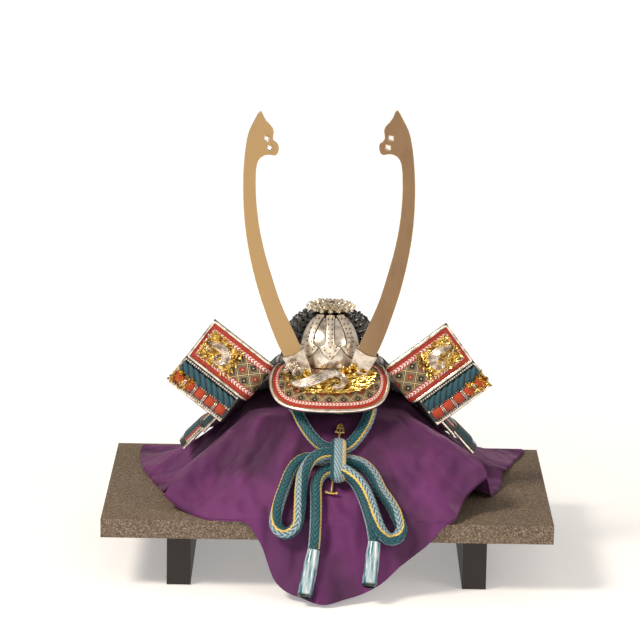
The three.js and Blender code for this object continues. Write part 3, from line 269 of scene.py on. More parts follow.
quarter = spline([(10 * math.cos(a), 10 * math.sin(a), 0) for a in (0, 0.52, 1.05, 1.57)], 20)
quarter_length = sum((b - a).length for a, b in zip(quarter, quarter[1:]))
print(f"a spline through four points of a 10 mm circle: {quarter_length:.2f} mm, and the true arc is 15.70 mm")


# %% [markdown]
# A material is a tree of nodes, and it reads best when every node is added in the same way. One function adds a
# node by Blender's own name for it, sets it, links or fills its inputs and gives one of its outputs. Colours are
# sRGB values, as on a colour card, and another function turns them linear. Patterns are worked out in
# millimetres, from the object's own space or from a piece's flat coordinates.


# %% Material tools
def colour(code):
    """A linear colour from sRGB hex."""
    values = [int(code[k : k + 2], 16) / 255 for k in (1, 3, 5)]
    return tuple(v / 12.92 if v <= 0.04045 else ((v + 0.055) / 1.055) ** 2.4 for v in values) + (1.0,)


def add(tree, kind, inputs=(), out=0, **settings):
    """Add one node with its settings and links, and give one of its outputs."""
    node = tree.nodes.new(kind if "Node" in kind else "ShaderNode" + kind)
    for key, value in settings.items():
        setattr(node, key, value)
    for socket, value in inputs.items() if isinstance(inputs, dict) else enumerate(inputs):
        if isinstance(value, bpy.types.NodeSocket):
            tree.links.new(value, node.inputs[socket])
        else:
            node.inputs[socket].default_value = value
    return node.outputs[out] if node.outputs else None


# A Map Range node with this setting gives 0 at its first value, 1 at its second, and a smooth way between them.
SMOOTH = {"interpolation_type": "SMOOTHSTEP"}
# A Mix node with these mixes two colours, which are its inputs 6 and 7, by input 0.
COLOURS = {"data_type": "RGBA", "out": 2}


def inside(tree, value, low, high, soft=0.15):
    """1 between two values, with soft ends: a smooth step up times a smooth step down."""
    return add(
        tree,
        "Math",
        (
            add(tree, "MapRange", (value, low - soft, low + soft), **SMOOTH),
            add(tree, "MapRange", (value, high + soft, high - soft), **SMOOTH),
        ),
        operation="MULTIPLY",
    )


def flat_coordinates(tree, layer="Flat"):
    """The two coordinates that a piece keeps in one of its layers."""
    parts = add(tree, "SeparateXYZ", (add(tree, "UVMap", uv_map=layer),)).node
    return parts.outputs[0], parts.outputs[1]


def millimetres(tree):
    """Object coordinates in millimetres."""
    return add(tree, "VectorMath", {0: add(tree, "TexCoord", out="Object"), 3: 1000.0}, operation="SCALE")


def started(name):
    made_material = bpy.data.materials.new(name)
    made_material.use_nodes = True
    made_material.node_tree.nodes.clear()
    return made_material, made_material.node_tree


def finished_material(made_material, tree, base, rough, metal=0.0, normal=None, **fixed):
    inputs = {"Base Color": base, "Roughness": rough, "Metallic": metal}
    if normal:
        inputs["Normal"] = normal
    inputs.update({key.replace("_", " "): value for key, value in fixed.items()})
    add(tree, "OutputMaterial", {"Surface": add(tree, "BsdfPrincipled", inputs)})
    print(f"{made_material.name}: {len(tree.nodes)} nodes")
    return made_material


# %% [markdown]
# Most of the helmet's fittings are brass castings, silver or gold plated and polished. One function serves them
# all: a bright colour, a darker one in soft random patches, which paint in the shade of a casting's hollows
# without following them, and a fine grain in the roughness. The eye gets a warm sparkle that changes from leaf
# to leaf, and never a perfect mirror.


# %% Silver and gold plating
def plating(name, base, dark, rough, grain=0.6):
    made_material, tree = started(name)
    cloud = add(tree, "TexNoise", {"Vector": millimetres(tree), "Scale": 1 / 6, "Detail": 3})
    fine = add(tree, "TexNoise", {"Vector": millimetres(tree), "Scale": 1 / 0.8})
    # Painted shade: soft random patches of the darker colour.
    base_out = add(
        tree,
        "Mix",
        {0: add(tree, "MapRange", (cloud, 0.3, 0.6), **SMOOTH), 6: colour(dark), 7: colour(base)},
        **COLOURS,
    )
    rough_out = add(tree, "Math", (fine, 0.22, rough - 0.08), operation="MULTIPLY_ADD")
    return finished_material(
        made_material,
        tree,
        base_out,
        rough_out,
        1.0,
        add(tree, "Bump", {"Height": fine, "Distance": 0.08 * grain / 1000, "Strength": 0.5}),
    )


# Polished silver, for leaves, waves and rims: bright, with grey patches of painted shade laid at random.
silver = plating("polished_silver", "#f4eade", "#a99d90", 0.22)
# Hammered silver of the front plate and the visor's rim: the brightest metal, with hardly a dark patch.
bright_silver = plating("bright_silver", "#fcf1e4", "#e2d5c6", 0.2, 0.2)
# Polished gold of the cast relief: pale yellow, with deep yellow patches of painted shade laid at random.
gold = plating("polished_gold", "#f8dc84", "#a87524", 0.24)
# Silver with a trace of gold, for the crown's beads: a creamy sparkle.
pale_gold = plating("pale_gold", "#f5eedd", "#d3c6a8", 0.24)
# Gold wire of the knot's pin: plain and yellow, so that the thin pin shows on the cord.
bright_gold = plating("bright_gold", "#fae08a", "#e4bb5c", 0.27)
# Satin silver of the horns' sockets: softer and greyer than the plate behind them.
socket_silver = plating("socket_silver", "#dcd0c2", "#b3a797", 0.3)
# The horns' polished bevel: the same champagne tone, lighter as a painted highlight and sharper, so that it draws a
# thin line.
champagne_highlight_edge = plating("champagne_highlight_edge", "#cdb99d", "#b39c7d", 0.26, 0.2)
# Dark dull silver of the rivets, and of the ribs' outlines, which are painted shade round their feet: dark and dull,
# so that small shapes read.
dark_dull_silver = plating("dark_dull_silver", "#5d5752", "#2f2b29", 0.45)
# Satin silver of the ribs: as bright as the plate, but without its mirror.
satin_rib_silver = plating("satin_rib_silver", "#fdf0e0", "#e3d6c6", 0.34)


# %% [markdown]
# The horns are brass plate in a satin champagne plating, brushed along their length. The brushing is a noise
# stretched 25 times upwards. The eye gets a calm tan sheet with faint long streaks, warmer on the left horn and
# browner on the right, as the light in the photograph leaves them.


# %% Champagne satin
def satin_silver():
    made_material, tree = started("champagne_satin_silver")
    streak = add(
        tree, "TexNoise",
        {"Vector": add(tree, "Mapping", {"Vector": millimetres(tree), "Scale": (1.0, 1.0, 0.04)}),
         "Scale": 1.6, "Detail": 3.0},
    )
    cloud = add(tree, "TexNoise", {"Vector": millimetres(tree), "Scale": 1 / 30})
    across = add(tree, "SeparateXYZ", {0: millimetres(tree)})
    # Painted light and shade: lighter and warmer towards the left horn, darker and browner towards the right.
    base = add(
        tree,
        "Mix",
        {0: add(tree, "MapRange", (across, -40.0, 60.0), **SMOOTH), 6: colour("#ae9063"), 7: colour("#785d47")},
        **COLOURS,
    )
    base = add(
        tree,
        "Mix",
        {0: add(tree, "Math", (cloud, 0.35), operation="MULTIPLY"), 6: base, 7: colour("#b3946c")},
        **COLOURS,
    )
    base = add(
        tree,
        "Mix",
        {0: add(tree, "Math", (streak, 0.2), operation="MULTIPLY"), 6: base, 7: colour("#cfb594")},
        **COLOURS,
    )
    rough = add(tree, "Math", (streak, 0.16, 0.34), operation="MULTIPLY_ADD")
    return finished_material(
        made_material,
        tree,
        base,
        rough,
        1.0,
        add(tree, "Bump", {"Height": streak, "Distance": 0.04 / 1000, "Strength": 0.4}),
    )


champagne = satin_silver()


# %% [markdown]
# The bowl, its band and the lames are iron under many coats of black lacquer. A thin clear coat over a nearly
# black base, with slow waves in it, gives deep blacks with small soft highlights.


# %% Black lacquer
def lacquer():
    made_material, tree = started("black_lacquer")
    cloud = add(tree, "TexNoise", {"Vector": millimetres(tree), "Scale": 1 / 9})
    base = add(tree, "Mix", {0: cloud, 6: colour("#08080a"), 7: colour("#141316")}, **COLOURS)
    rough = add(
        tree,
        "Math",
        (add(tree, "TexNoise", {"Vector": millimetres(tree), "Scale": 1 / 1.5}), 0.14, 0.2),
        operation="MULTIPLY_ADD",
    )
    return finished_material(
        made_material,
        tree,
        base,
        rough,
        0.0,
        add(tree, "Bump", {"Height": cloud, "Distance": 0.15 / 1000, "Strength": 0.3}),
        Coat_Weight=0.5,
        Coat_Roughness=0.1,
    )


black_lacquer = lacquer()


# %% [markdown]
# The table is a board sprayed with a granular stone-like paint. Its grains are about a millimetre, which is
# a pixel of the photograph, so they are drawn at their real size: cells for the pale and dark grains, and a
# finer noise for the pits between them. The eye gets a matt brown-grey speckle with no gloss.


# %% Granular coating
def granular_coating():
    made_material, tree = started("speckled_granular_coating")
    grains = add(tree, "TexVoronoi", {"Vector": millimetres(tree), "Scale": 1.0, "Randomness": 1.0}).node
    shade = add(tree, "SeparateColor", (grains.outputs["Color"],))
    cloud = add(tree, "TexNoise", {"Vector": millimetres(tree), "Scale": 1 / 1.4, "Detail": 3, "Roughness": 0.65})
    base = add(
        tree,
        "Mix",
        {0: add(tree, "MapRange", (shade, 0.1, 0.9), **SMOOTH), 6: colour("#5c4e42"), 7: colour("#8c7b68")},
        **COLOURS,
    )
    base = add(
        tree,
        "Mix",
        {0: add(tree, "MapRange", (cloud, 0.48, 0.66), **SMOOTH), 6: base, 7: colour("#453b31")},
        **COLOURS,
    )
    base = add(
        tree,
        "Mix",
        {0: add(tree, "MapRange", (shade, 0.9, 0.97), **SMOOTH), 6: base, 7: colour("#9c9184")},
        **COLOURS,
    )
    height = add(
        tree,
        "Math",
        (cloud, add(tree, "Math", (grains.outputs["Distance"], -0.5), operation="MULTIPLY")),
        operation="ADD",
    )
    return finished_material(
        made_material,
        tree,
        base,
        0.82,
        0.0,
        add(tree, "Bump", {"Height": height, "Distance": 0.5 / 1000, "Strength": 0.8}),
    )


speckled = granular_coating()


# %% [markdown]
# The runners are wood stained nearly black, and the hidden block and post are plain planed wood. Growth rings
# are a wave stretched 20 times along the grain. The eye gets quiet parallel bands, just seen on the dark wood.


# %% Wood
def wood(name, dark, pale, rough, bands):
    made_material, tree = started(name)
    grain = add(tree, "Mapping", {"Vector": millimetres(tree), "Scale": (1.0, 0.05, 1.0)})
    rings = add(
        tree,
        "TexWave",
        {"Vector": grain, "Scale": 1.0 / bands, "Distortion": 4.0, "Detail": 3.0, "Detail Scale": 0.7},
        "Fac",
    )
    fibre = add(tree, "TexNoise", {"Vector": grain, "Scale": 1 / 0.9, "Detail": 3})
    base = add(tree, "Mix", {0: rings, 6: colour(dark), 7: colour(pale)}, **COLOURS)
    base = add(
        tree, "Mix", {0: add(tree, "Math", (fibre, 0.5), operation="MULTIPLY"), 6: base, 7: colour(dark)}, **COLOURS
    )
    return finished_material(
        made_material,
        tree,
        base,
        rough,
        0.0,
        add(tree, "Bump", {"Height": fibre, "Distance": 0.2 / 1000, "Strength": 0.4}),
    )


dark_wood = wood("dark_stained_wood", "#17110f", "#2a211e", 0.5, 9)
plain_wood = wood("plain_wood", "#b28e5d", "#d3b384", 0.65, 7)


# %% [markdown]
# The cloth is a plain weave of dyed cotton or crepe, with a soft sheen. Its thread is finer than a pixel of the
# photograph, so the weave is drawn coarser, at 0.9 mm, and as a faint bump only. Soft radiating folds, too slow
# for the mesh, are a noise on the direction from the helmet, and their hollows are painted darker as painted
# shade; a little more painted shade darkens the cloth close round the helmet. The eye gets broad light and dark
# bands in a deep purple that never shines.


# %% Purple cloth
def plum_cloth():
    made_material, tree = started("purple_cloth")
    along, across = flat_coordinates(tree)
    warp = add(tree, "Math", (add(tree, "Math", (along, 2 * math.pi / 0.9), operation="MULTIPLY"),), operation="SINE")
    weft = add(
        tree, "Math", (add(tree, "Math", (across, 2 * math.pi / 0.9), operation="MULTIPLY"),), operation="SINE"
    )
    weave = add(tree, "Math", (warp, weft), operation="MULTIPLY")
    cloud = add(tree, "TexNoise", {"Vector": millimetres(tree), "Scale": 1 / 60, "Detail": 3})
    spot = add(tree, "SeparateXYZ", (millimetres(tree),)).node.outputs
    behind = add(tree, "Math", (spot[1], 1000 * DISPLAY_SHIFT), operation="SUBTRACT")
    heading = add(tree, "Math", (behind, spot[0]), operation="ARCTAN2")
    far = add(
        tree,
        "Math",
        (
            add(
                tree,
                "Math",
                (spot[0], spot[0], add(tree, "Math", (behind, behind), operation="MULTIPLY")),
                operation="MULTIPLY_ADD",
            ),
        ),
        operation="SQRT",
    )
    polar = add(
        tree,
        "CombineXYZ",
        {
            0: add(tree, "Math", (heading,), operation="COSINE"),
            1: add(tree, "Math", (heading,), operation="SINE"),
            2: add(tree, "Math", (far, 160.0), operation="DIVIDE"),
        },
    )
    fold = add(tree, "TexNoise", {"Vector": polar, "Scale": 3.2, "Detail": 2.0, "Roughness": 0.45})
    soft_folds = add(
        tree,
        "Bump",
        {
            "Height": add(
                tree, "Math", (fold, add(tree, "MapRange", (far, 70.0, 130.0), **SMOOTH)), operation="MULTIPLY"
            ),
            "Distance": 55 / 1000,
        },
    )
    base = add(
        tree,
        "Mix",
        {0: add(tree, "MapRange", (cloud, 0.35, 0.65), **SMOOTH), 6: colour("#541b57"), 7: colour("#6a286a")},
        **COLOURS,
    )
    # Painted shade: the folds' hollows are mixed towards a near black purple.
    base = add(
        tree,
        "Mix",
        {
            0: add(tree, "Math", (add(tree, "MapRange", (fold, 0.56, 0.36), **SMOOTH), 0.55), operation="MULTIPLY"),
            6: base,
            7: colour("#1f081f"),
        },
        **COLOURS,
    )
    # Painted shade: the cloth darkens a little within 150 mm of the helmet's middle.
    base = add(
        tree,
        "Mix",
        {
            0: add(tree, "Math", (add(tree, "MapRange", (far, 150.0, 100.0), **SMOOTH), 0.15), operation="MULTIPLY"),
            6: base,
            7: colour("#1f081f"),
        },
        **COLOURS,
    )
    base = add(
        tree,
        "Mix",
        {0: add(tree, "Math", (weave, 0.06, 0.06), operation="MULTIPLY_ADD"), 6: base, 7: colour("#7a3a72")},
        **COLOURS,
    )
    return finished_material(
        made_material,
        tree,
        base,
        0.72,
        0.0,
        add(tree, "Bump", {"Height": weave, "Distance": 0.12 / 1000, "Strength": 0.5, "Normal": soft_folds}),
        Sheen_Weight=0.35,
        Sheen_Roughness=0.45,
        Sheen_Tint=colour("#c79ac2"),
    )


purple_cloth = plum_cloth()


# %% [markdown]
# The chin cord is plaited from dyed silk strands, teal, pale blue and yellow. Each strand keeps its colour along
# a strip of the cord, so the colours follow the share round the cord, and the gaps between strands come from
# the mesh and are painted dark as painted shade. A painted highlight lightens the crest of each strand. The eye
# gets a row of soft V shapes with a silky light along each strand.


# %% Braided silk
def strand_silk(name, stops):
    """Braided silk. The flat coordinates are the share round the cord and the length in millimetres."""
    made_material, tree = started(name)
    share, length = flat_coordinates(tree)
    half = add(tree, "Math", (add(tree, "Math", (share, 2.0), operation="MULTIPLY"),), operation="FRACT")
    ramp = add(tree, "ValToRGB", (half,)).node
    ramp.color_ramp.interpolation = "CONSTANT"
    while len(ramp.color_ramp.elements) < len(stops):
        ramp.color_ramp.elements.new(0.5)
    for element, (place, code) in zip(ramp.color_ramp.elements, stops):
        element.position, element.color = place, colour(code)
    fibre_vector = add(
        tree,
        "CombineXYZ",
        {
            0: add(tree, "Math", (share, 60.0), operation="MULTIPLY"),
            1: add(tree, "Math", (length, 0.5), operation="MULTIPLY"),
        },
    )
    fibre = add(tree, "TexNoise", {"Vector": fibre_vector, "Scale": 1.0, "Detail": 2.0})
    gap = flat_coordinates(tree, "Edge")[0]
    # Painted highlight: the crest of each strand is lightened towards white.
    crest = add(
        tree,
        "Mix",
        {0: add(tree, "MapRange", (gap, 0.35, 0.0), **SMOOTH), 6: ramp.outputs[0], 7: colour("#ffffff")},
        **COLOURS,
        blend_type="SOFT_LIGHT",
    )
    # Painted shade: the gaps between strands are darkened towards near black teal.
    base = add(
        tree,
        "Mix",
        {
            0: add(tree, "Math", (add(tree, "MapRange", (gap, 0.42, 0.72), **SMOOTH), 0.9), operation="MULTIPLY"),
            6: crest,
            7: colour("#03141b"),
        },
        **COLOURS,
    )
    base = add(
        tree,
        "Mix",
        {0: add(tree, "Math", (fibre, 0.12), operation="MULTIPLY"), 6: base, 7: ramp.outputs[0]},
        **COLOURS,
    )
    return finished_material(
        made_material,
        tree,
        base,
        0.55,
        0.0,
        add(tree, "Bump", {"Height": fibre, "Distance": 0.15 / 1000, "Strength": 0.4}),
        Sheen_Weight=0.25,
        Sheen_Roughness=0.4,
    )


CORD_STOPS = [(0.0, "#064b57"), (0.5, "#e6c460"), (0.62, "#7d98a6"), (0.98, "#064b57")]
KNOT_STOPS = [(0.0, "#064b57"), (0.36, "#dfc68a"), (0.62, "#7d98a6"), (0.98, "#064b57")]
cord_silk = strand_silk("teal_blue_yellow_silk", CORD_STOPS)
knot_silk = strand_silk("knot_silk", KNOT_STOPS)


# %% [markdown]
# The wings' twisted braid, their puffs and their picots are silk floss of one colour each. The gaps, again from
# the mesh, are painted dark as painted shade, and a fine noise stands for the loose fibres. The eye gets a matt,
# slightly furry thread.


# %% Silk of one colour
def one_colour_silk(name, base_code, gap_shade_code, pale_code):
    made_material, tree = started(name)
    gap = flat_coordinates(tree, "Edge")[0]
    fibre = add(tree, "TexNoise", {"Vector": millimetres(tree), "Scale": 1 / 0.7, "Detail": 3})
    base = add(tree, "Mix", {0: fibre, 6: colour(base_code), 7: colour(pale_code)}, **COLOURS)
    # Painted shade: the gaps are mixed towards the dark colour.
    base = add(
        tree,
        "Mix",
        {
            0: add(tree, "Math", (add(tree, "MapRange", (gap, 0.3, 0.85), **SMOOTH), 0.9), operation="MULTIPLY"),
            6: base,
            7: colour(gap_shade_code),
        },
        **COLOURS,
    )
    return finished_material(
        made_material,
        tree,
        base,
        0.65,
        0.0,
        add(tree, "Bump", {"Height": fibre, "Distance": 0.25 / 1000, "Strength": 0.6}),
        Sheen_Weight=0.3,
        Sheen_Roughness=0.5,
    )


teal_silk = one_colour_silk("teal_silk", "#0b4252", "#03141a", "#165d70")
red_silk = one_colour_silk("orange_red_silk", "#9c2b07", "#3c0f04", "#c04517")
white_silk = one_colour_silk("white_silk", "#e9e2d8", "#8d8276", "#fbf7f0")


# %% [markdown]
# Visor and wings are covered in smoke-tanned leather with a stencilled lattice, edged with a plaited stitch and
# a red leather hem. The lattice is two sets of diagonal stripes at right angles. It repeats every 16 mm, which
# is coarser than on such leather, because finer lines melt together at the photograph's size. The stitches are
# 3.6 mm apart, also a little coarse. The eye gets a busy cream and black ground in a crisp red and white frame.


# %% Stencilled leather
def lattice(tree, along, across):
    """A gold diamond lattice, each diamond holding a smaller dark or red one."""
    size = 16.0
    a = add(tree, "Math", (add(tree, "Math", (along, across), operation="ADD"), size), operation="DIVIDE")
    b = add(tree, "Math", (add(tree, "Math", (along, across), operation="SUBTRACT"), size), operation="DIVIDE")
    near = add(
        tree,
        "Math",
        (add(tree, "Math", (a, 0.5), operation="PINGPONG"), add(tree, "Math", (b, 0.5), operation="PINGPONG")),
        operation="MINIMUM",
    )
    parity = add(
        tree,
        "Math",
        (
            add(
                tree,
                "Math",
                (
                    add(
                        tree,
                        "Math",
                        (add(tree, "Math", (a,), operation="FLOOR"), add(tree, "Math", (b,), operation="FLOOR")),
                        operation="ADD",
                    ),
                ),
                operation="ABSOLUTE",
            ),
            2.0,
        ),
        operation="MODULO",
    )
    centre = add(
        tree,
        "Mix",
        {0: add(tree, "MapRange", (parity, 0.4, 0.6), **SMOOTH), 6: colour("#14100f"), 7: colour("#9c2521")},
        **COLOURS,
    )
    base = add(
        tree,
        "Mix",
        {0: add(tree, "MapRange", (near, 0.25, 0.28), **SMOOTH), 6: colour("#1f140d"), 7: centre},
        **COLOURS,
    )
    line = add(
        tree,
        "Math",
        (inside(tree, near, -0.1, 0.035, 0.012), inside(tree, near, 0.12, 0.155, 0.012)),
        operation="MAXIMUM",
    )
    line = add(
        tree,
        "Math",
        (line, add(tree, "Math", (inside(tree, near, 0.235, 0.258, 0.012), 0.7), operation="MULTIPLY")),
        operation="MAXIMUM",
    )
    line = add(
        tree,
        "Math",
        (line, add(tree, "Math", (add(tree, "MapRange", (near, 0.42, 0.45), **SMOOTH), 0.8), operation="MULTIPLY")),
        operation="MAXIMUM",
    )
    return add(tree, "Mix", {0: line, 6: base, 7: colour("#dec795")}, **COLOURS), line


def bordered_leather():
    """Lattice leather with a red hem and a row of plaited stitches, both measured from the edge."""
    made_material, tree = started("bordered_leather")
    along, across = flat_coordinates(tree)
    distance, running = flat_coordinates(tree, "Edge")
    base, ridge = lattice(tree, along, across)
    slanted = add(
        tree,
        "Math",
        (
            running,
            add(tree, "Math", (add(tree, "Math", (distance, 6.6), operation="SUBTRACT"),), operation="ABSOLUTE"),
        ),
        operation="ADD",
    )
    stitch = add(tree, "Math", (add(tree, "Math", (slanted, 3.6), operation="DIVIDE"), 0.5), operation="PINGPONG")
    plait = add(
        tree,
        "Mix",
        {0: add(tree, "MapRange", (stitch, 0.2, 0.3), **SMOOTH), 6: colour("#c85a58"), 7: colour("#f6efe8")},
        **COLOURS,
    )
    base = add(tree, "Mix", {0: inside(tree, distance, 4.6, 8.6, 0.15), 6: base, 7: plait}, **COLOURS)
    base = add(tree, "Mix", {0: inside(tree, distance, 8.6, 9.5, 0.12), 6: base, 7: colour("#a52a2a")}, **COLOURS)
    grain = add(tree, "TexNoise", {"Vector": millimetres(tree), "Scale": 1 / 0.7})
    red = add(tree, "Mix", {0: grain, 6: colour("#9c2616"), 7: colour("#b0341f")}, **COLOURS)
    base = add(tree, "Mix", {0: add(tree, "MapRange", (distance, 4.7, 4.5), **SMOOTH), 6: base, 7: red}, **COLOURS)
    raised = add(
        tree,
        "Math",
        (inside(tree, distance, 4.6, 8.6, 0.3), add(tree, "MapRange", (stitch, 0.05, 0.4), **SMOOTH)),
        operation="MULTIPLY",
    )
    height = add(
        tree,
        "Math",
        (
            add(tree, "Math", (ridge, 0.3), operation="MULTIPLY"),
            add(tree, "Math", (raised, add(tree, "Math", (grain, 0.1), operation="MULTIPLY")), operation="ADD"),
        ),
        operation="ADD",
    )
    return finished_material(
        made_material,
        tree,
        base,
        0.5,
        0.0,
        add(tree, "Bump", {"Height": height, "Distance": 0.7 / 1000, "Strength": 0.9}),
    )


leather = bordered_leather()


# %% [markdown]
# The lames are hung on flat silk braids laced side by side, 5 mm wide, mostly teal with a white and a red one in
# every nine. Each braid is a chevron plait; painted shade darkens the grooves of the chevrons and the narrow gaps
# between braids. The eye gets fine upright ribs with a slanting shimmer.


# %% Laced silk
def laced_silk():
    """Close vertical lacing: teal braids, with a white and a red one at intervals."""
    made_material, tree = started("laced_silk")
    along, down = flat_coordinates(tree)
    column = add(tree, "Math", (along, 5.0), operation="DIVIDE")
    which = add(
        tree,
        "Math",
        (add(tree, "Math", (add(tree, "Math", (column,), operation="FLOOR"),), operation="ABSOLUTE"), 9.0),
        operation="MODULO",
    )
    across = add(
        tree,
        "Math",
        (add(tree, "Math", (add(tree, "Math", (column,), operation="FRACT"), 0.5), operation="SUBTRACT"),),
        operation="ABSOLUTE",
    )
    chevron = add(
        tree,
        "Math",
        (
            add(
                tree,
                "Math",
                (
                    add(tree, "Math", (down, 3.0), operation="DIVIDE"),
                    add(tree, "Math", (across, 1.4), operation="MULTIPLY"),
                ),
                operation="ADD",
            ),
            0.5,
        ),
        operation="PINGPONG",
    )
    base = add(
        tree, "Mix", {0: inside(tree, which, 0.6, 1.4, 0.1), 6: colour("#0d4b59"), 7: colour("#e0d8ca")}, **COLOURS
    )
    base = add(tree, "Mix", {0: inside(tree, which, 1.6, 2.4, 0.1), 6: base, 7: colour("#b5341f")}, **COLOURS)
    # Painted shade: the chevrons' grooves are darkened.
    base = add(
        tree,
        "Mix",
        {0: add(tree, "MapRange", (chevron, 0.16, 0.02), **SMOOTH), 6: base, 7: colour("#06212a")},
        **COLOURS,
    )
    # Painted shade: the gaps between braids are darkened.
    base = add(
        tree,
        "Mix",
        {0: add(tree, "MapRange", (across, 0.4, 0.49), **SMOOTH), 6: base, 7: colour("#06181d")},
        **COLOURS,
    )
    height = add(
        tree,
        "Math",
        (add(tree, "MapRange", (chevron, 0.0, 0.4), **SMOOTH), add(tree, "MapRange", (across, 0.35, 0.5), **SMOOTH)),
        operation="SUBTRACT",
    )
    return finished_material(
        made_material,
        tree,
        base,
        0.6,
        0.0,
        add(tree, "Bump", {"Height": height, "Distance": 0.7 / 1000, "Strength": 0.8}),
        Sheen_Weight=0.25,
        Sheen_Roughness=0.45,
    )


lacing_silk = laced_silk()


# %% [markdown]
# The cord's cut ends are held in clear plastic film, shrunk on by heat. Seen through it, the loose silk is a
# bundle of pale and teal streaks. They are painted on the film's own surface, under a hard clear coat, so that
# the export needs no transparency. The eye gets a wet gloss over soft streaks, and painted shade darkens the
# last few millimetres round the open tip.


# %% Film over silk
def film_over_silk():
    """Clear film shrunk over the silk's loose end: pale and teal streaks under a hard gloss, painted dark as shade at
    the tip.
    """
    made_material, tree = started("clear_film_over_silk")
    share, length = flat_coordinates(tree)
    streak_vector = add(
        tree,
        "CombineXYZ",
        {
            0: add(tree, "Math", (share, 9.0), operation="MULTIPLY"),
            1: add(tree, "Math", (length, 0.03), operation="MULTIPLY"),
        },
    )
    streak = add(tree, "TexNoise", {"Vector": streak_vector, "Scale": 1.0, "Detail": 3.0})
    base = add(
        tree,
        "Mix",
        {0: add(tree, "MapRange", (streak, 0.4, 0.52), **SMOOTH), 6: colour("#2c7484"), 7: colour("#a9c3cf")},
        **COLOURS,
    )
    base = add(
        tree,
        "Mix",
        {0: add(tree, "MapRange", (streak, 0.55, 0.64), **SMOOTH), 6: base, 7: colour("#eef3f3")},
        **COLOURS,
    )
    # Painted shade: the last few millimetres towards the open tip are painted near black.
    left = flat_coordinates(tree, "Edge")[0]
    base = add(
        tree, "Mix", {0: add(tree, "MapRange", (left, 4.5, 1.5), **SMOOTH), 6: base, 7: colour("#0a2226")}, **COLOURS
    )
    return finished_material(
        made_material,
        tree,
        base,
        0.3,
        0.0,
        add(tree, "Bump", {"Height": streak, "Distance": 0.8 / 1000, "Strength": 0.7}),
        Coat_Weight=1.0,
        Coat_Roughness=0.06,
    )


sleeve_film = film_over_silk()

# %% [markdown]
# Repeated small pieces are scattered by Geometry Nodes: conical studs on the bowl, rivets, beads and picots.
# Copying a mesh by hand would do too, but a node group keeps one cone with named sizes for all of them. It
# takes a mesh whose vertices are the places, with a direction stored on each, and puts a cone there. The seed
# is fixed, and the result becomes an ordinary mesh.


# %% Scatter with Geometry Nodes
def cone_scatter_group():
    group = bpy.data.node_groups.new("Cone scatter", "GeometryNodeTree")
    group.is_modifier = True
    io = group.interface
    io.new_socket("Places", in_out="INPUT", socket_type="NodeSocketGeometry")
    for title, value in (("Foot radius", 0.002), ("Top radius", 0.001), ("Height", 0.002), ("Size spread", 0.0)):
        io.new_socket(title, in_out="INPUT", socket_type="NodeSocketFloat").default_value = value
    io.new_socket("Sides", in_out="INPUT", socket_type="NodeSocketInt").default_value = 10
    io.new_socket("Finish", in_out="INPUT", socket_type="NodeSocketMaterial")
    io.new_socket("Pieces", in_out="OUTPUT", socket_type="NodeSocketGeometry")
    start = add(group, "NodeGroupInput").node.outputs
    cone = add(group, "GeometryNodeMeshCone", {
        "Vertices": start["Sides"], "Radius Bottom": start["Foot radius"], "Radius Top": start["Top radius"],
        "Depth": start["Height"],
    })
    facing = add(
        group, "GeometryNodeInputNamedAttribute", {"Name": "facing"}, "Attribute", data_type="FLOAT_VECTOR"
    )
    turn = add(group, "FunctionNodeAlignRotationToVector", {"Vector": facing}, axis="Z")
    low = add(group, "Math", (1.0, start["Size spread"]), operation="SUBTRACT")
    high = add(group, "Math", (1.0, start["Size spread"]), operation="ADD")
    size = add(group, "FunctionNodeRandomValue", {2: low, 3: high, "Seed": 7}, 1, data_type="FLOAT")
    scatter = add(group, "GeometryNodeInstanceOnPoints", {
        "Points": start["Places"], "Instance": cone, "Rotation": turn, "Scale": size,
    })
    real = add(group, "GeometryNodeRealizeInstances", (scatter,))
    finish = add(group, "GeometryNodeSetMaterial", {"Geometry": real, "Material": start["Finish"]})
    add(group, "NodeGroupOutput", (finish,))
    return group


scatter_group = cone_scatter_group()
print("scatter inputs:", [item.name for item in scatter_group.interface.items_tree if item.in_out == "INPUT"])


def scattered(name, places, foot, top, height, finish, spread=0.0, sides=10):
    """places are (point, direction) pairs in millimetres; each gets a cone, rounded by its sides."""
    mesh = bpy.data.meshes.new(name + "_places")
    mesh.from_pydata([placed(p) for p, _ in places], [], [])
    facing = mesh.attributes.new("facing", "FLOAT_VECTOR", "POINT")
    facing.data.foreach_set("vector", [c for _, d in places for c in d])
    holder = bpy.data.objects.new(name + "_places", mesh)
    bpy.context.scene.collection.objects.link(holder)
    modifier = holder.modifiers.new("Cone scatter", "NODES")
    modifier.node_group = scatter_group
    values = {
        "Foot radius": foot / 1000, "Top radius": top / 1000, "Height": height / 1000,
        "Size spread": spread, "Sides": sides, "Finish": finish,
    }
    for item in scatter_group.interface.items_tree:
        if item.in_out == "INPUT" and item.name in values:
            modifier[item.identifier] = values[item.name]
    bpy.context.view_layer.update()
    result = bpy.data.meshes.new_from_object(holder.evaluated_get(bpy.context.evaluated_depsgraph_get()))
    result.name = name
    bpy.data.objects.remove(holder)
    result.polygons.foreach_set("use_smooth", [True] * len(result.polygons))
    result.set_sharp_from_angle(angle=math.radians(50))
    if not result.materials:
        result.materials.append(finish)
    return added(name, result)


# %% [markdown]
# The chin cord is a square silk braid about 12 mm thick: a teal herringbone face, a pale blue one beside it,
# and a yellow strand along the corner between them. It hangs from under the bowl, crosses on the cloth and is
# tied in a bow, so its five lengths follow the same centrelines as the CAD solids. The strands could be a bump
# map, but a cord this thick shows them at its outline, so they are relief: slanted ridges that meet in a V.
# They are drawn 5.4 mm apart, about one and a half times as coarse as on such a braid.

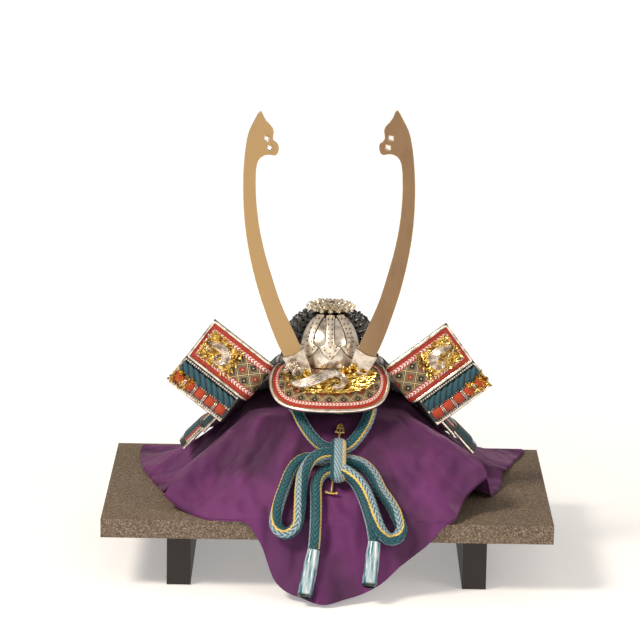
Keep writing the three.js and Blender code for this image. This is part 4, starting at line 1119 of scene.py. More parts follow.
# %% Chin cord
NECK_LOOP = [
    (10, -100, 135), (0, -99.5, 135.5), (-9, -96, 139), (-18.5, -88, 147), (-27, -78, 157.5), (-33, -66.5, 167),
    (-36, -48, 166), (-38, -15, 165.6), (-36, 18, 165.6), (-22, 42, 165.6), (0, 50, 165.6), (22, 42, 165.6),
    (37, 18, 165.6), (40, -15, 165.6), (42, -48, 166), (42, -66.5, 167), (38, -78, 157.5), (29.5, -89, 146),
    (21, -96.5, 138.5), (14, -99.5, 135.5), (8, -100, 135),
]
LOOP_LEFT = [
    (10, -108.8, 126), (-3, -108.5, 126.3), (-14, -108, 127), (-24, -109, 126.5), (-31, -112.5, 123),
    (-37, -119.5, 116.5), (-42, -129.5, 106.5), (-48.5, -147, 90.5), (-51.5, -162, 76), (-47.5, -165.5, 68.5),
    (-40, -166.5, 66), (-31.5, -165.5, 72), (-28, -156, 86), (-27, -141, 103), (-24, -129.5, 119),
    (-16.5, -122.5, 130), (-6.5, -118.6, 134.6), (6, -114.5, 134),
]
LOOP_RIGHT = [
    (10, -108.8, 126), (21.5, -109.3, 126), (34.5, -112.3, 122.7), (45, -120.8, 114.2), (53, -134, 102),
    (63, -147, 91.3), (69.5, -158, 81), (73, -165, 71.5), (69, -168.5, 64), (61, -170, 63), (53, -171, 71),
    (47.5, -170, 84), (42.5, -159, 96), (36.5, -147.8, 107), (28.5, -138.8, 115.3), (20.5, -132.7, 119.8),
    (12, -126.3, 122.8),
]
END_LEFT = [
    (9, -117.6, 117), (-1, -118.5, 117), (-8, -123, 113), (-11.5, -131, 105.7), (-11.5, -143.5, 94),
    (-11.5, -160, 78.8), (-12.2, -169.5, 63), (-13, -173, 52.5),
]
END_RIGHT = [
    (10, -117.2, 116.7), (21, -121.5, 113), (29, -129, 106.5), (35, -139.5, 97), (40, -151.5, 85.5),
    (44, -161.5, 73), (46.5, -166, 59.5),
]
SLEEVE_TIPS = {"left": (-21.2, -196.5, 9.4), "right": (42.1, -189, 19)}
CORD_RADIUS = 5.9
CORD_SIDES = 48
STRAND_PITCH = 5.4
VIEW_SIDE = Vector((0, -0.7, 0.72))
YELLOW_STRAND = (0.5, 0.62)


def strand_relief(phi, run):
    """Depth of the braid's surface, 0 on a strand and 1 between strands, at an angle and a length."""
    share = (phi / math.pi + 0.25) % 1.0
    if share < YELLOW_STRAND[0]:
        low, high = 0.0, YELLOW_STRAND[0]
    elif share < YELLOW_STRAND[1]:
        low, high = YELLOW_STRAND
    else:
        low, high = YELLOW_STRAND[1], 0.98
    half = (high - low) / 2
    across = (share - low - half) / half
    reach = half * math.pi * CORD_RADIUS
    if half > 0.1:
        phase = (run + abs(across) * reach * 1.75) / STRAND_PITCH
    else:
        phase = run / (STRAND_PITCH * 0.8) + across * 0.6
    gap = 1 - abs(math.sin(math.pi * phase))
    seam = limited((abs(across) - 0.8) / 0.2) ** 2 * (0.8 if half > 0.1 else 0.5)
    return limited(max(gap, seam))


def braided_cord(name, points, roll, hand, stands_for):
    length = sum((Vector(b) - Vector(a)).length for a, b in zip(points, points[1:]))
    line = spline(points, int(length / 0.75))
    ways = tangents(line)
    piece = Gathered()
    rings, edges = [], []
    run, total = 0.0, sum((b - a).length for a, b in zip(line, line[1:]))
    for k, (point, way) in enumerate(zip(line, ways)):
        if k:
            run += (point - line[k - 1]).length
        face = (VIEW_SIDE - way * VIEW_SIDE.dot(way)).normalized()
        side = way.cross(face)
        turn = math.radians(table_value(roll, run / total))
        ring, gaps = [], []
        for j in range(CORD_SIDES):
            theta = 2 * math.pi * j / CORD_SIDES
            phi = hand * (theta - turn)
            depth = strand_relief(phi, run)
            square = (abs(math.cos(phi)) ** 2.7 + abs(math.sin(phi)) ** 2.7) ** (-1 / 2.7)
            radius = CORD_RADIUS * square - 0.9 * depth
            ring.append(point + face * (radius * math.cos(theta)) + side * (radius * math.sin(theta)))
            gaps.append(depth)
        rings.append(ring)
        edges.append((turn, run, gaps))

    def flat(i, j):
        turn, run_here, _ = edges[i]
        return (hand * (2 * math.pi * j / CORD_SIDES - turn) / (2 * math.pi) + 0.125 + 4, run_here)

    def edge(i, j):
        return (edges[i][2][j % CORD_SIDES], 0)

    start = piece.grid(rings, flat, edge, around=True)
    piece.cap(start, CORD_SIDES, flip=True)
    piece.cap(start + (len(rings) - 1) * CORD_SIDES, CORD_SIDES)
    made_piece = piece.made(name, [cord_silk], "teal_silk", stands_for, sharp=180)
    return made_piece, line, total


def capped_tube(piece, line, radius, sides=10):
    """A round tube along a line, with flat ends; radius is a size or a function of the share along it."""
    rings = []
    for point, way in zip(line, tangents(line)):
        guide = Vector((0, 0, 1)) if abs(way.z) < 0.9 else Vector((1, 0, 0))
        side = way.cross(guide).normalized()
        lift = side.cross(way).normalized()
        r = radius(len(rings) / max(len(line) - 1, 1)) if callable(radius) else radius
        rings.append([
            point + side * (r * math.cos(2 * math.pi * j / sides)) + lift * (r * math.sin(2 * math.pi * j / sides))
            for j in range(sides)
        ])
    piece.tube(rings)


cords = {}
for name, points, roll, hand in (
    ("cord_neck", NECK_LOOP, [(0, -15), (0.25, -15), (0.8, 25), (1, 5)], -1),
    (
        "cord_loop_left",
        LOOP_LEFT,
        [(0, 10), (0.4, 5), (0.52, -40), (0.66, -112), (0.78, -125), (0.9, -172), (1, -185)],
        1,
    ),
    ("cord_loop_right", LOOP_RIGHT, [(0, -125), (0.4, -110), (0.54, -48), (0.7, -80), (1, -90)], 1),
    ("cord_end_left", END_LEFT, [(0, 12), (1, -4)], -1),
    ("cord_end_right", END_RIGHT, [(0, 30), (1, 0)], -1),
):
    cords[name] = braided_cord("silk_" + name, points, roll, hand, [name])

# %% [markdown]
# The knot is one turn of the same cord round the crossing, pulled tight, so it stands up from the cloth as an
# upright oval. It is a closed ring whose strands all slant one way, because the V pattern would show a seam
# where the turn meets itself. A thin gold pin runs down through it, with a pierced arch for a head and a
# crossbar at its foot; bent tubes are enough for both.

# %% Knot and pin
KNOT_CENTRE = Vector((10, -116.2, 128))
SLOPE = math.radians(45.5)
KNOT_UP = Vector((0, math.cos(SLOPE), math.sin(SLOPE)))
KNOT_OUT = Vector((0, -math.sin(SLOPE), math.cos(SLOPE)))


KNOT_TURN = math.radians(99)
KNOT_STRANDS, KNOT_SLANT = 16, 16


def tight_knot():
    """One turn of cord round the crossing; its strands slant in a single direction and meet without a seam."""
    piece = Gathered()
    steps, sides = 130, 48
    squarish = lambda v: math.copysign(abs(v) ** 0.86, v)
    angles = [2 * math.pi * k / steps for k in range(steps + 1)]
    centres = [
        KNOT_CENTRE + KNOT_UP * (18.6 * squarish(math.sin(a))) + KNOT_OUT * (6.4 * squarish(math.cos(a)))
        for a in angles
    ]
    runs = [0.0]
    for p, q in zip(centres, centres[1:]):
        runs.append(runs[-1] + (q - p).length)
    rings, gaps = [], []
    for centre, angle, run in zip(centres, angles, runs):
        outward = (KNOT_UP * (math.sin(angle) * 6.4) + KNOT_OUT * (math.cos(angle) * 18.6)).normalized()
        ring, depths = [], []
        for j in range(sides):
            theta = 2 * math.pi * j / sides
            phase = KNOT_STRANDS * run / runs[-1] + KNOT_SLANT * j / sides
            depth = 1 - abs(math.sin(math.pi * phase))
            radius_x, radius_out = 8.0 - 0.7 * depth, 6.0 - 0.8 * depth
            ring.append(
                centre + Vector((1, 0, 0)) * (radius_x * math.sin(theta)) + outward * (radius_out * math.cos(theta))
            )
            depths.append(depth)
        rings.append(ring)
        gaps.append(depths)
    piece.grid(
        rings,
        lambda i, j: (KNOT_TURN / (2 * math.pi) - j / sides + 0.125 + 4, runs[i]),
        lambda i, j: (gaps[i][j % sides], 0),
        around=True,
    )
    return piece.made("silk_knot", [knot_silk], "teal_silk", ["cord_knot"], sharp=180)


knot = tight_knot()

PIN_TOP = Vector((12.2, -77.8, 155.8))
PIN_FOOT = Vector((3.5, -133.5, 99.5))
PIN_WAY = (PIN_TOP - PIN_FOOT).normalized()
PIN_SIDE = (Vector((1, 0, 0)) - PIN_WAY * PIN_WAY.x).normalized()


def pin_spot(from_top, aside):
    return PIN_TOP - PIN_WAY * from_top + PIN_SIDE * aside


def gold_pin():
    piece = Gathered()
    capped_tube(piece, [PIN_FOOT, PIN_FOOT.lerp(PIN_TOP, 0.5), PIN_TOP], 1.15, 12)
    arch = [
        pin_spot(
            9 - 8.5 * math.sin(math.pi * k / 16),
            4.2 * math.cos(math.pi * k / 16) * (0.75 + 0.25 * math.sin(math.pi * k / 16)),
        )
        for k in range(17)
    ]
    capped_tube(piece, arch, 0.75, 10)
    capped_tube(
        piece,
        [pin_spot(9.4, -4.6), pin_spot(10.2, -1.5), pin_spot(10.2, 1.5), pin_spot(9.4, 4.6)],
        lambda t: 0.8 + 0.7 * abs(2 * t - 1),
        10,
    )
    capped_tube(piece, [pin_spot(5, -3.2), pin_spot(5, 3.2)], 0.75, 8)
    capped_tube(
        piece,
        [
            PIN_FOOT - PIN_SIDE * 6, PIN_FOOT - PIN_SIDE * 2 - PIN_WAY * 1, PIN_FOOT + PIN_SIDE * 2 - PIN_WAY * 1,
            PIN_FOOT + PIN_SIDE * 6,
        ],
        lambda t: 1.0 + 0.5 * abs(2 * t - 1),
        10,
    )
    return piece.made("gold_knot_pin", [bright_gold], "gold", ["knot_pin"], sharp=50)


pin = gold_pin()


def film_sleeve(side, path):
    """The cord's end in clear film: a slightly crushed tube, open at its tip and painted dark there as shade."""
    start, tip = Vector(path[-1]), Vector(SLEEVE_TIPS[side])
    way = (tip - start).normalized()
    start = start + way * 1.5
    face = (VIEW_SIDE - way * VIEW_SIDE.dot(way)).normalized()
    across = way.cross(face)
    piece = Gathered()
    steps, sides = 44, 28
    long = (tip - start).length
    rings = []
    for k in range(steps + 1):
        t = k / steps
        ring = []
        for j in range(sides):
            theta = 2 * math.pi * j / sides
            crush = 0.35 * math.sin(3 * theta + 4 * t) + 0.25 * math.sin(7 * theta - 9 * t) + 0.2 * math.sin(
                11 * theta + 31 * t
            )
            radius = mix(6.2, 7.1, smooth(limited(t * 3))) + crush * (0.5 + 0.5 * t)
            radius *= 1 - 0.06 * limited((t - 0.95) / 0.05)
            ring.append(
                start
                + way * (long * t)
                + face * (radius * 0.93 * math.cos(theta))
                + across * (radius * math.sin(theta))
            )
        rings.append(ring)
    first = piece.grid(
        rings, lambda i, j: (j / sides, long * i / steps), lambda i, j: (long * (1 - i / steps), 0), around=True
    )
    piece.cap(first, sides, flip=True, edge=(long, 0))
    hollow = [[tip + (p - tip) * 0.86 - way * (3.0 * (1 if d else 0)) for p in rings[-1]] for d in (0, 1)]
    piece.grid([rings[-1], hollow[0], hollow[1]], None, lambda i, j: (0, 0), around=True)
    piece.cap(len(piece.points) - sides, sides, edge=(0, 0))
    return piece.made(f"film_sleeve_{side}", [sleeve_film], "clear_sleeve", [f"cord_sleeve_{side}"], sharp=60)


sleeves = {"left": film_sleeve("left", END_LEFT), "right": film_sleeve("right", END_RIGHT)}

CORD_FACTS = {
    "cord_neck": ("knot", [knot, pin]),
    "cord_loop_left": ("object", []),
    "cord_loop_right": ("object", []),
    "cord_end_left": ("fitting", [sleeves["left"]]),
    "cord_end_right": ("fitting", [sleeves["right"]]),
}
for name, (far_end, with_pieces) in CORD_FACTS.items():
    piece, line, total = cords[name]
    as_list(with_pieces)

# %% [markdown]
# The cloth is a square of plain purple weave, laid as a diamond over the block, with one corner hanging over
# the front edge of the table. The fold table is the CAD's own: for each direction round the block it says how
# far the hem lies, how the slope sags and how the flap hangs. Finer columns and soft creases make it cloth.

# %% Draped cloth
TABLE = {"width": 450, "depth": 300, "top": 73}
BLOCK = {"width": 150, "depth": 124, "height": 84, "corner": 20}
FIT = 0.3
CLOTH_REST = TABLE["top"] + FIT + BLOCK["height"] + FIT
CLOTH_THICK = 1.2
# angle, reach, lift, sag, drop, swing
FOLDS = [
    (-118, 1, 0, 1.05, 0.02, 0.05), (-113, 1, 0, 1.05, 0.33, 0.15), (-109, 1, 0, 1, 0.76, 0.33),
    (-104.5, 1, 0, 1, 0.93, 0.52), (-98, 1, 0, 1.04, 1, 0.71), (-91, 1, 0, 1, 1.02, 1), (-84, 1, 0, 1.04, 0.98, 0.82),
    (-77, 1, 0, 1, 0.93, 0.6), (-71, 1, 0, 1.05, 0.81, 0.47), (-65, 1, 0, 1, 0.58, 0.33), (-57, 1, 0, 1, 0.3, 0.15),
    (-51.5, 1, 0.02, 1, 0, 0.02), (-40, 0.78, 0.26, 1, 0, 0), (-29, 0.685, 0.52, 1, 0, 0),
    (-23, 0.715, 0.28, 1.3, 0, 0), (-16, 0.74, 0.02, 1.7, 0, 0), (-5, 0.785, 0.03, 1.7, 0, 0),
    (6, 0.805, 0.13, 1.6, 0, 0), (15, 0.83, 0.04, 1.5, 0, 0), (24, 0.868, 0.01, 1.7, 0, 0),
    (32.5, 0.93, 0.01, 2, 0, 0), (41, 0.93, 0.01, 2.5, 0, 0), (51, 0.87, 0.01, 2.6, 0, 0),
    (68, 0.88, 0.04, 2.5, 0, 0), (90, 0.92, 0.01, 2.2, 0, 0), (112, 0.88, 0.04, 2.5, 0, 0),
    (132, 0.86, 0.01, 2.6, 0, 0), (150, 0.88, 0.01, 1.95, 0, 0), (165, 0.86, 0.01, 1.5, 0, 0),
    (182, 0.8, 0.01, 1.6, 0, 0), (197, 0.74, 0.02, 1.6, 0, 0), (207, 0.68, 0.3, 1.15, 0, 0),
    (219, 0.79, 0.03, 1.35, 0, 0), (231, 0.97, 0, 1.1, 0, 0),
]
FLAP_DROP, FLAP_SWING, CLOTH_EASE = 69, 50, 2


def block_radius(angle, clearance):
    low, high = 0.0, 300.0
    for _ in range(30):
        middle = (low + high) / 2
        x = max(abs(middle * math.cos(angle)) - BLOCK["width"] / 2 + BLOCK["corner"], 0)
        y = max(abs(middle * math.sin(angle)) - BLOCK["depth"] / 2 + BLOCK["corner"], 0)
        if math.hypot(x, y) - BLOCK["corner"] < clearance:
            low = middle
        else:
            high = middle
    return low


def folds_at(degrees):
    turn = lambda a: (a - FOLDS[0][0]) % 360
    place = turn(degrees)
    k = max(n for n in range(len(FOLDS)) if turn(FOLDS[n][0]) <= place)
    row = lambda n: FOLDS[(k + n) % len(FOLDS)]
    span = (turn(row(1)[0]) - turn(row(0)[0])) % 360 or 360
    t = (place - turn(row(0)[0])) / span
    values = []
    for column in range(1, 6):
        a, b, c, d = (row(n)[column] for n in (-1, 0, 1, 2))
        curve = b + 0.5 * t * (c - a + t * (2 * a - 5 * b + 4 * c - d + t * (3 * (b - c) + d - a)))
        values.append(limited(curve, min(b, c), max(b, c)))
    return values


def table_edge(angle):
    return min(
        TABLE["width"] / 2 / max(abs(math.cos(angle)), 1e-6), TABLE["depth"] / 2 / max(abs(math.sin(angle)), 1e-6)
    )


TOP_RINGS, SLOPE_RINGS, FLAP_RINGS = 6, 30, 22


def cloth_column(degrees):
    """The cloth's line in one direction: over the block, down the slope and over the edge."""
    angle = math.radians(degrees)
    reach, lift, sag, drop, swing = folds_at(degrees)
    flat = TABLE["top"] + FIT
    edge = block_radius(angle, CLOTH_EASE)
    hem = table_edge(angle) * reach + (CLOTH_EASE if reach > 0.95 else 0)
    foot = flat + lift * BLOCK["height"]
    spot = lambda r, z: Vector((r * math.cos(angle), r * math.sin(angle), z))
    column = [spot(edge * k / TOP_RINGS, CLOTH_REST) for k in range(TOP_RINGS + 1)]
    for k in range(1, SLOPE_RINGS + 1):
        u = k / SLOPE_RINGS
        column.append(spot(mix(edge, hem, u), foot + (CLOTH_REST - foot) * (1 - u) ** sag))
    lip = column[-1].copy()
    outward = swing * FLAP_SWING - CLOTH_EASE * min(swing / 0.05, 1)
    for k in range(1, FLAP_RINGS + 1):
        u = k / FLAP_RINGS
        out = outward * u**1.3 + (0 if drop > 0.01 else u * 1.2)
        towards = Vector((math.cos(angle) * 0.25, -1, 0)) if drop > 0.01 else Vector(
            (math.cos(angle), math.sin(angle), 0)
        )
        column.append(lip + towards * out + Vector((0, 0, -FLAP_DROP * drop * u)))
    return column


def crease(degrees, share):
    """Soft radiating creases that start at the block's edge and widen towards the hem."""
    a = math.radians(degrees)
    waves = (
        1.3 * math.sin(9 * a + 0.6)
        + 1.1 * math.sin(17 * a + 2.1 + 1.5 * share)
        + 0.55 * math.sin(31 * a + 0.3 - 2 * share)
    )
    return waves * math.sin(math.pi * limited(share, 0, 1)) ** 0.8


def draped_cloth():
    columns = [cloth_column(-90 + 360 * j / 288) for j in range(288)]
    rows = [[column[i] for column in columns] for i in range(len(columns[0]))]
    smoothed = [[p.copy() for p in row] for row in rows]
    for i in range(5, 37):
        for j in range(len(rows[0])):
            weight = 0.5 if 5 < i < 10 else 0.15
            ring = (rows[i - 1][j] + rows[i + 1][j]) / 2
            smoothed[i][j] = rows[i][j].lerp(ring, weight)
    rows = smoothed
    normals = grid_normals(rows, around=True, toward=lambda p: Vector((p.x, p.y, 120)))
    normals[0] = [Vector((0, 0, 1))] * len(rows[0])
    for i, row in enumerate(rows):
        share = limited((i - 6) / 30)
        for j, point in enumerate(row):
            depth = crease(-90 + 360 * j / 288, share)
            row[j] = point + normals[i][j] * (max(depth + 1.2, -0.2) if i <= 36 else 0)
    piece = Gathered()
    piece.wall(
        rows,
        normals,
        0,
        CLOTH_THICK,
        flat=lambda i, j: (rows[min(i, len(rows) - 1)][j % 288].x, rows[min(i, len(rows) - 1)][j % 288].y),
        around=True,
    )
    return piece.made("purple_drape", [purple_cloth], "purple_cloth", ["drape_cloth"], sharp=70)


cloth = draped_cloth()

# %% [markdown]
# The bowl is black lacquered iron, a squarish dome raised from plates, with rows of conical studs. Most of it
# hides behind the silver front plate and the crown; the studs show on either side of them.

# %% Bowl, band and studs
BOWL = {"a": 46, "b": 52, "h": 51.5, "wall": 2.5, "rim": 203, "y": 4, "power": 2.8}
FRONT = -math.pi / 2


def dome_point(angle, share, offset=0.0):
    level = min(share, 1.0)
    power = BOWL["power"]
    width = max(1 - level**power, 0) ** (1 / power)
    point = Vector(
        (
            BOWL["a"] * width * math.cos(angle),
            BOWL["y"] + BOWL["b"] * width * math.sin(angle),
            BOWL["rim"] + BOWL["h"] * level,
        )
    )
    radial = Vector((math.cos(angle) / BOWL["a"], math.sin(angle) / BOWL["b"], 0)) * width ** (power - 1)
    normal = (radial + Vector((0, 0, level ** (power - 1) / BOWL["h"]))).normalized()
    return point + normal * offset, normal


def bowl_shell():
    piece = Gathered()
    around, shares = 96, [1.0, 0.998, 0.99, 0.97, 0.94, 0.9, 0.85, 0.79, 0.72, 0.64, 0.55, 0.45, 0.34, 0.22, 0.1, 0.0]
    rows = [[dome_point(2 * math.pi * j / around, share)[0] for j in range(around)] for share in shares]
    normals = [[dome_point(2 * math.pi * j / around, share)[1] for j in range(around)] for share in shares]
    ribbed = []
    for i, (row, ns) in enumerate(zip(rows, normals)):
        ribbed.append(
            [
                p + n * (0.25 * abs(math.sin(12 * math.pi * j / around)) * min(1, i / 4))
                for j, (p, n) in enumerate(zip(row, ns))
            ]
        )
    piece.wall(ribbed, normals, -BOWL["wall"], 0, around=True)
    return piece.made("lacquered_bowl", [black_lacquer], "black_lacquer", ["bowl"], sharp=40)


bowl_shell()

stud_places = []
for meridian in range(40):
    angle = 2 * math.pi * (meridian + 0.5) / 40
    if abs((angle - FRONT + math.pi) % (2 * math.pi) - math.pi) < math.radians(43):
        continue
    for share in (0.1, 0.22, 0.34, 0.46, 0.58, 0.69, 0.79, 0.87, 0.93):
        if share > 0.8 and meridian % 2:
            continue
        point, normal = dome_point(angle, share, 1.2)
        stud_places.append((point, normal))
scattered("bowl_studs", stud_places, 2.3, 0.9, 3.0, black_lacquer, spread=0.08)

BAND_TOP, BAND_REACH = 202.7, 5.5


def ellipse_spot(angle, extra, z):
    return Vector(((BOWL["a"] + extra) * math.cos(angle), BOWL["y"] + (BOWL["b"] + extra) * math.sin(angle), z))


def base_band():
    piece = Gathered()
    section = [
        (-2.5, -3.2), (BAND_REACH - 0.4, -3.2), (BAND_REACH, -2.8), (BAND_REACH, -0.5), (BAND_REACH - 0.5, 0),
        (-2.5, 0),
    ]
    rings = [[ellipse_spot(2 * math.pi * k / 96, e, BAND_TOP + z) for e, z in section] for k in range(97)]
    piece.grid(rings, around=True)
    return piece.made("lacquered_band", [black_lacquer], "black_lacquer", ["bowl_band"], sharp=40)


base_band()

# %% [markdown]
# The front plate is polished silver, hammered over the bowl, with three applied ribs that widen into arrow
# heads and are held by rows of small rivets. It is the brightest thing on the helmet.

# %% Front plate
RIB_ROWS = [
    (0.95, 0.42), (0.9, 0.4), (0.82, 0.38), (0.72, 0.36), (0.6, 0.38), (0.52, 0.42), (0.48, 0.7), (0.455, 1.0),
    (0.41, 0.88), (0.34, 0.62), (0.29, 0.34), (0.24, 0.08),
]


def plate_reach(share):
    point, _ = dome_point(FRONT, share)
    return max(abs(point.y - BOWL["y"]), BOWL["b"] * 0.3)


def silver_front():
    piece = Gathered()
    shares = [0.93 - 0.87 * k / 26 for k in range(27)]
    rows, normals = [], []
    for share in shares:
        line = [dome_point(FRONT + math.radians(40) * (2 * j / 48 - 1), share) for j in range(49)]
        rows.append([p for p, _ in line])
        normals.append([n for _, n in line])
    piece.wall(rows, normals, FIT, 1.8, flat=lambda i, j: (j * 1.4, i * 2.0))
    for turn in (-26, 0, 26):
        # Each rib stands on a band of dark dull silver 0.9 mm wider, a painted shade round its foot, under a satin
        # top.
        for wider, low, high, slot in ((0.9, 1.6, 2.1, 1), (0.0, 1.6, 3.1, 2)):
            rows, normals = [], []
            for height, width in RIB_ROWS:
                half = (width * 11 + wider) / plate_reach(height)
                line = [
                    dome_point(
                        FRONT + math.radians(turn * mix(1.12, 0.98, height)) + half * (j / 4 - 1),
                        height,
                        0.7 * (1 - abs(j / 4 - 1) ** 3),
                    )
                    for j in range(9)
                ]
                rows.append([p for p, _ in line])
                normals.append([n for _, n in line])
            piece.wall(rows, normals, low, high, slot=slot)
    return piece.made(
        "silver_front_plate", [bright_silver, dark_dull_silver, satin_rib_silver], "silver", ["front_plate"], sharp=38
    )


silver_front()

rivet_places = []
for turn in (-26, 0, 26):
    for height, asides in (
        (0.9, (-0.2, 0.2)), (0.83, (-0.2, 0.2)), (0.76, (-0.2, 0.2)), (0.69, (-0.2, 0.2)), (0.62, (-0.2, 0.2)),
        (0.55, (-0.22, 0.22)), (0.47, (-0.6, 0, 0.6)), (0.41, (-0.5, 0.5)), (0.36, (0,)), (0.3, (0,)),
    ):
        for aside in asides:
            angle = FRONT + math.radians(turn * mix(1.12, 0.98, height)) + aside * 11 / plate_reach(height)
            rivet_places.append(dome_point(angle, height, 3.9))
scattered("front_plate_rivets", rivet_places, 0.8, 0.4, 1.0, dark_dull_silver, sides=8)

# %% [markdown]
# The crown is a stack of three blossom rings cast in silver, round the hole at the top of the bowl. Rows of
# pointed beads stand on them, so from the front the crown is a low spiky band. Each petal is a small closed
# solid with a raised midrib, and the relief on the visor and the wings is built from the same one.


# %% Crown
PETAL_RIDGE, PETAL_BLUNT = 0.45, 0.55


def petal(piece, root, tip, normal, width, rise):
    """A pointed petal with a raised midrib, from root to tip, closed underneath."""
    along = tip - root
    length = along.length
    along.normalize()
    side = along.cross(normal).normalized()
    up = side.cross(along).normalized()
    stations = (
        (0.0, 0.35, 0.0), (0.22, 0.8, 0.18), (0.5, 1.0, 0.5), (0.75, 0.8, 0.85), (0.92, 0.42, 1.1), (1.0, 0.06, 1.2)
    )
    rings = []
    for t, wide, lift in stations:
        centre = root + along * (length * t) + up * (rise * lift * t)
        half = width * wide / 2
        rings.append([
            centre - side * half, centre - side * half * PETAL_BLUNT + up * (half * PETAL_RIDGE),
            centre + up * (half * PETAL_RIDGE * 1.7), centre + side * half * PETAL_BLUNT + up * (half * PETAL_RIDGE),
            centre + side * half, centre - up * (half * 0.35),
        ])
    piece.tube(rings)


def crown_ring(name, radius, petals, z, node, tilt, width):
    """Petals that stand out round a low collar with a hole in its middle."""
    piece = Gathered()
    for k in range(petals):
        angle = 2 * math.pi * k / petals
        out = Vector((math.cos(angle), math.sin(angle), 0))
        root = Vector((0, BOWL["y"], z)) + out * radius * 0.3
        tip = Vector((0, BOWL["y"], z)) + out * radius + Vector((0, 0, tilt))
        petal(piece, root, tip, Vector((0, 0, 1)), width, 0.6)
    ring = []
    for k in range(49):
        angle = 2 * math.pi * k / 48
        section = [
            (4.6, -0.4), (radius * 0.42, -0.4), (radius * 0.42, 1.2), (radius * 0.3, 2.2), (5.4, 2.2), (4.6, 1.4)
        ]
        ring.append([Vector((r * math.cos(angle), BOWL["y"] + r * math.sin(angle), z + h)) for r, h in section])
    piece.grid(ring, around=True)
    return piece.made(name, [silver], "silver", [node], sharp=45)


crown_ring("crown_petals_lower", 24.5, 16, 255.6, "crown_blossom_lower", 1.2, 8.2)
crown_ring("crown_petals_middle", 20, 14, 258.0, "crown_blossom_middle", 0.8, 7.0)
crown_ring("crown_petals_upper", 13.5, 12, 260.2, "crown_blossom_upper", 0.0, 4.8)
bead_places = []
for count, radius, z, shift in (
    (16, 23.0, 258.0, 0), (16, 19.0, 260.0, 0.5), (12, 14.0, 260.9, 0), (9, 8.8, 261.2, 0.5)
):
    for k in range(count):
        angle = 2 * math.pi * (k + shift) / count
        out = Vector((math.cos(angle), math.sin(angle), 0))
        bead_places.append((Vector((0, BOWL["y"], z)) + out * radius, (out + Vector((0, 0, 1.2))).normalized()))
scattered("crown_beads", bead_places, 2.4, 1.3, 3.6, pale_gold, spread=0.2, sides=10)

# %% [markdown]
# The visor is a curved iron peak covered in stencilled leather: a gold lattice with dark and red diamonds,
# then a plaited stitch, then a red hem, inside a polished silver rim. Distances are measured inwards from
# its free edge, so the borders run parallel to the rim all the way round.

# %% Visor and its rim
VISOR = {"reach": 46, "drop": 29, "half": 54, "thick": 2.4, "inner": 4, "floor": 0.6}


def visor_point(angle, share):
    aside = min(abs(angle - FRONT) / math.radians(VISOR["half"]), 1)
    fullness = 1 - aside**5
    reach = VISOR["reach"] * (0.2 + 0.8 * fullness) * share
    point = Vector(
        (
            (BOWL["a"] + VISOR["inner"]) * math.cos(angle),
            BOWL["y"] + (BOWL["b"] + VISOR["inner"]) * math.sin(angle),
            BOWL["rim"],
        )
    )
    drop = VISOR["drop"] * (max(reach, 0) / VISOR["reach"]) ** 1.15 * fullness**1.6
    return point + Vector((math.cos(angle), math.sin(angle), 0)) * reach + Vector((0, 0, -drop))


VISOR_COLUMNS = 96
visor_rows = [
    [
        visor_point(FRONT + math.radians(VISOR["half"]) * (2 * j / VISOR_COLUMNS - 1), i / 24)
        for j in range(VISOR_COLUMNS + 1)
    ]
    for i in range(25)
]
visor_normals = grid_normals(visor_rows, toward=lambda p: Vector((0, -0.5, 1)))
visor_runs = [[0.0] for _ in visor_rows]
for runs, row in zip(visor_runs, visor_rows):
    for p, q in zip(row, row[1:]):
        runs.append(runs[-1] + (q - p).length)
visor_falls = []
for j in range(VISOR_COLUMNS + 1):
    fall = [0.0]
    for i in range(24, 0, -1):
        fall.append(fall[-1] + (visor_rows[i][j] - visor_rows[i - 1][j]).length)
    visor_falls.append(list(reversed(fall)))


def visor_flat(i, j):
    return (visor_runs[24][j] - visor_runs[24][VISOR_COLUMNS // 2] + 200, visor_falls[j][i] + 100)


def visor_edge(i, j):
    side = min(visor_runs[24][j], visor_runs[24][-1] - visor_runs[24][j]) * 0.9
    return (min(visor_falls[j][i] + 0.4, side + 0.4), visor_runs[24][j])


visor_piece = Gathered()
visor_piece.wall(
    visor_rows, visor_normals, VISOR["floor"], VISOR["floor"] + VISOR["thick"], visor_flat, visor_edge, back_slot=1
)
visor_piece.made("leather_visor", [leather, black_lacquer], "patterned_leather", ["visor"], sharp=50)


BAR_SIDES, BAR_POWER = 14, 3.0


def rounded_bar(name, path, half_wide, half_thick, finish, slot, stands_for=()):
    """path holds (point, normal); the bar's section is a rounded rectangle square to both."""
    points = [p for p, _ in path]
    piece = Gathered()
    rings = []
    for (point, normal), way in zip(path, tangents(points)):
        across = way.cross(normal).normalized()
        ring = []
        for j in range(BAR_SIDES):
            turn = 2 * math.pi * (j + 0.5) / BAR_SIDES
            c, s = math.cos(turn), math.sin(turn)
            scale = (abs(c) ** BAR_POWER + abs(s) ** BAR_POWER) ** (-1 / BAR_POWER)
            ring.append(point + across * (half_wide * c * scale) + normal * (half_thick * s * scale))
        rings.append(ring)
    piece.tube(rings)
    return piece.made(name, [finish], slot, stands_for, sharp=50)


visor_path = []
for j in range(VISOR_COLUMNS + 1):
    point, normal = visor_rows[24][j], visor_normals[24][j]
    along = (visor_rows[24][min(j + 1, VISOR_COLUMNS)] - visor_rows[24][max(j - 1, 0)]).normalized()
    out = along.cross(normal).normalized()
    if out.dot(Vector((point.x, point.y - 4, -20))) < 0:
        out.negate()
    visor_path.append((point + out * 2.2 + normal * 2.0, normal))
rounded_bar("silver_visor_rim", visor_path, 1.7, 2.2, bright_silver, "silver", ["visor_rim"])

# %% [markdown]
# The base of the horns is a crescent of cast relief on the visor: gold waves and pine fronds, a silver wave
# that sweeps across it from the left, and a small silver spray beside it. Each frond is a ridged leaf; they
# overlap like scales and follow the flow of the casting, so the light breaks up over them.


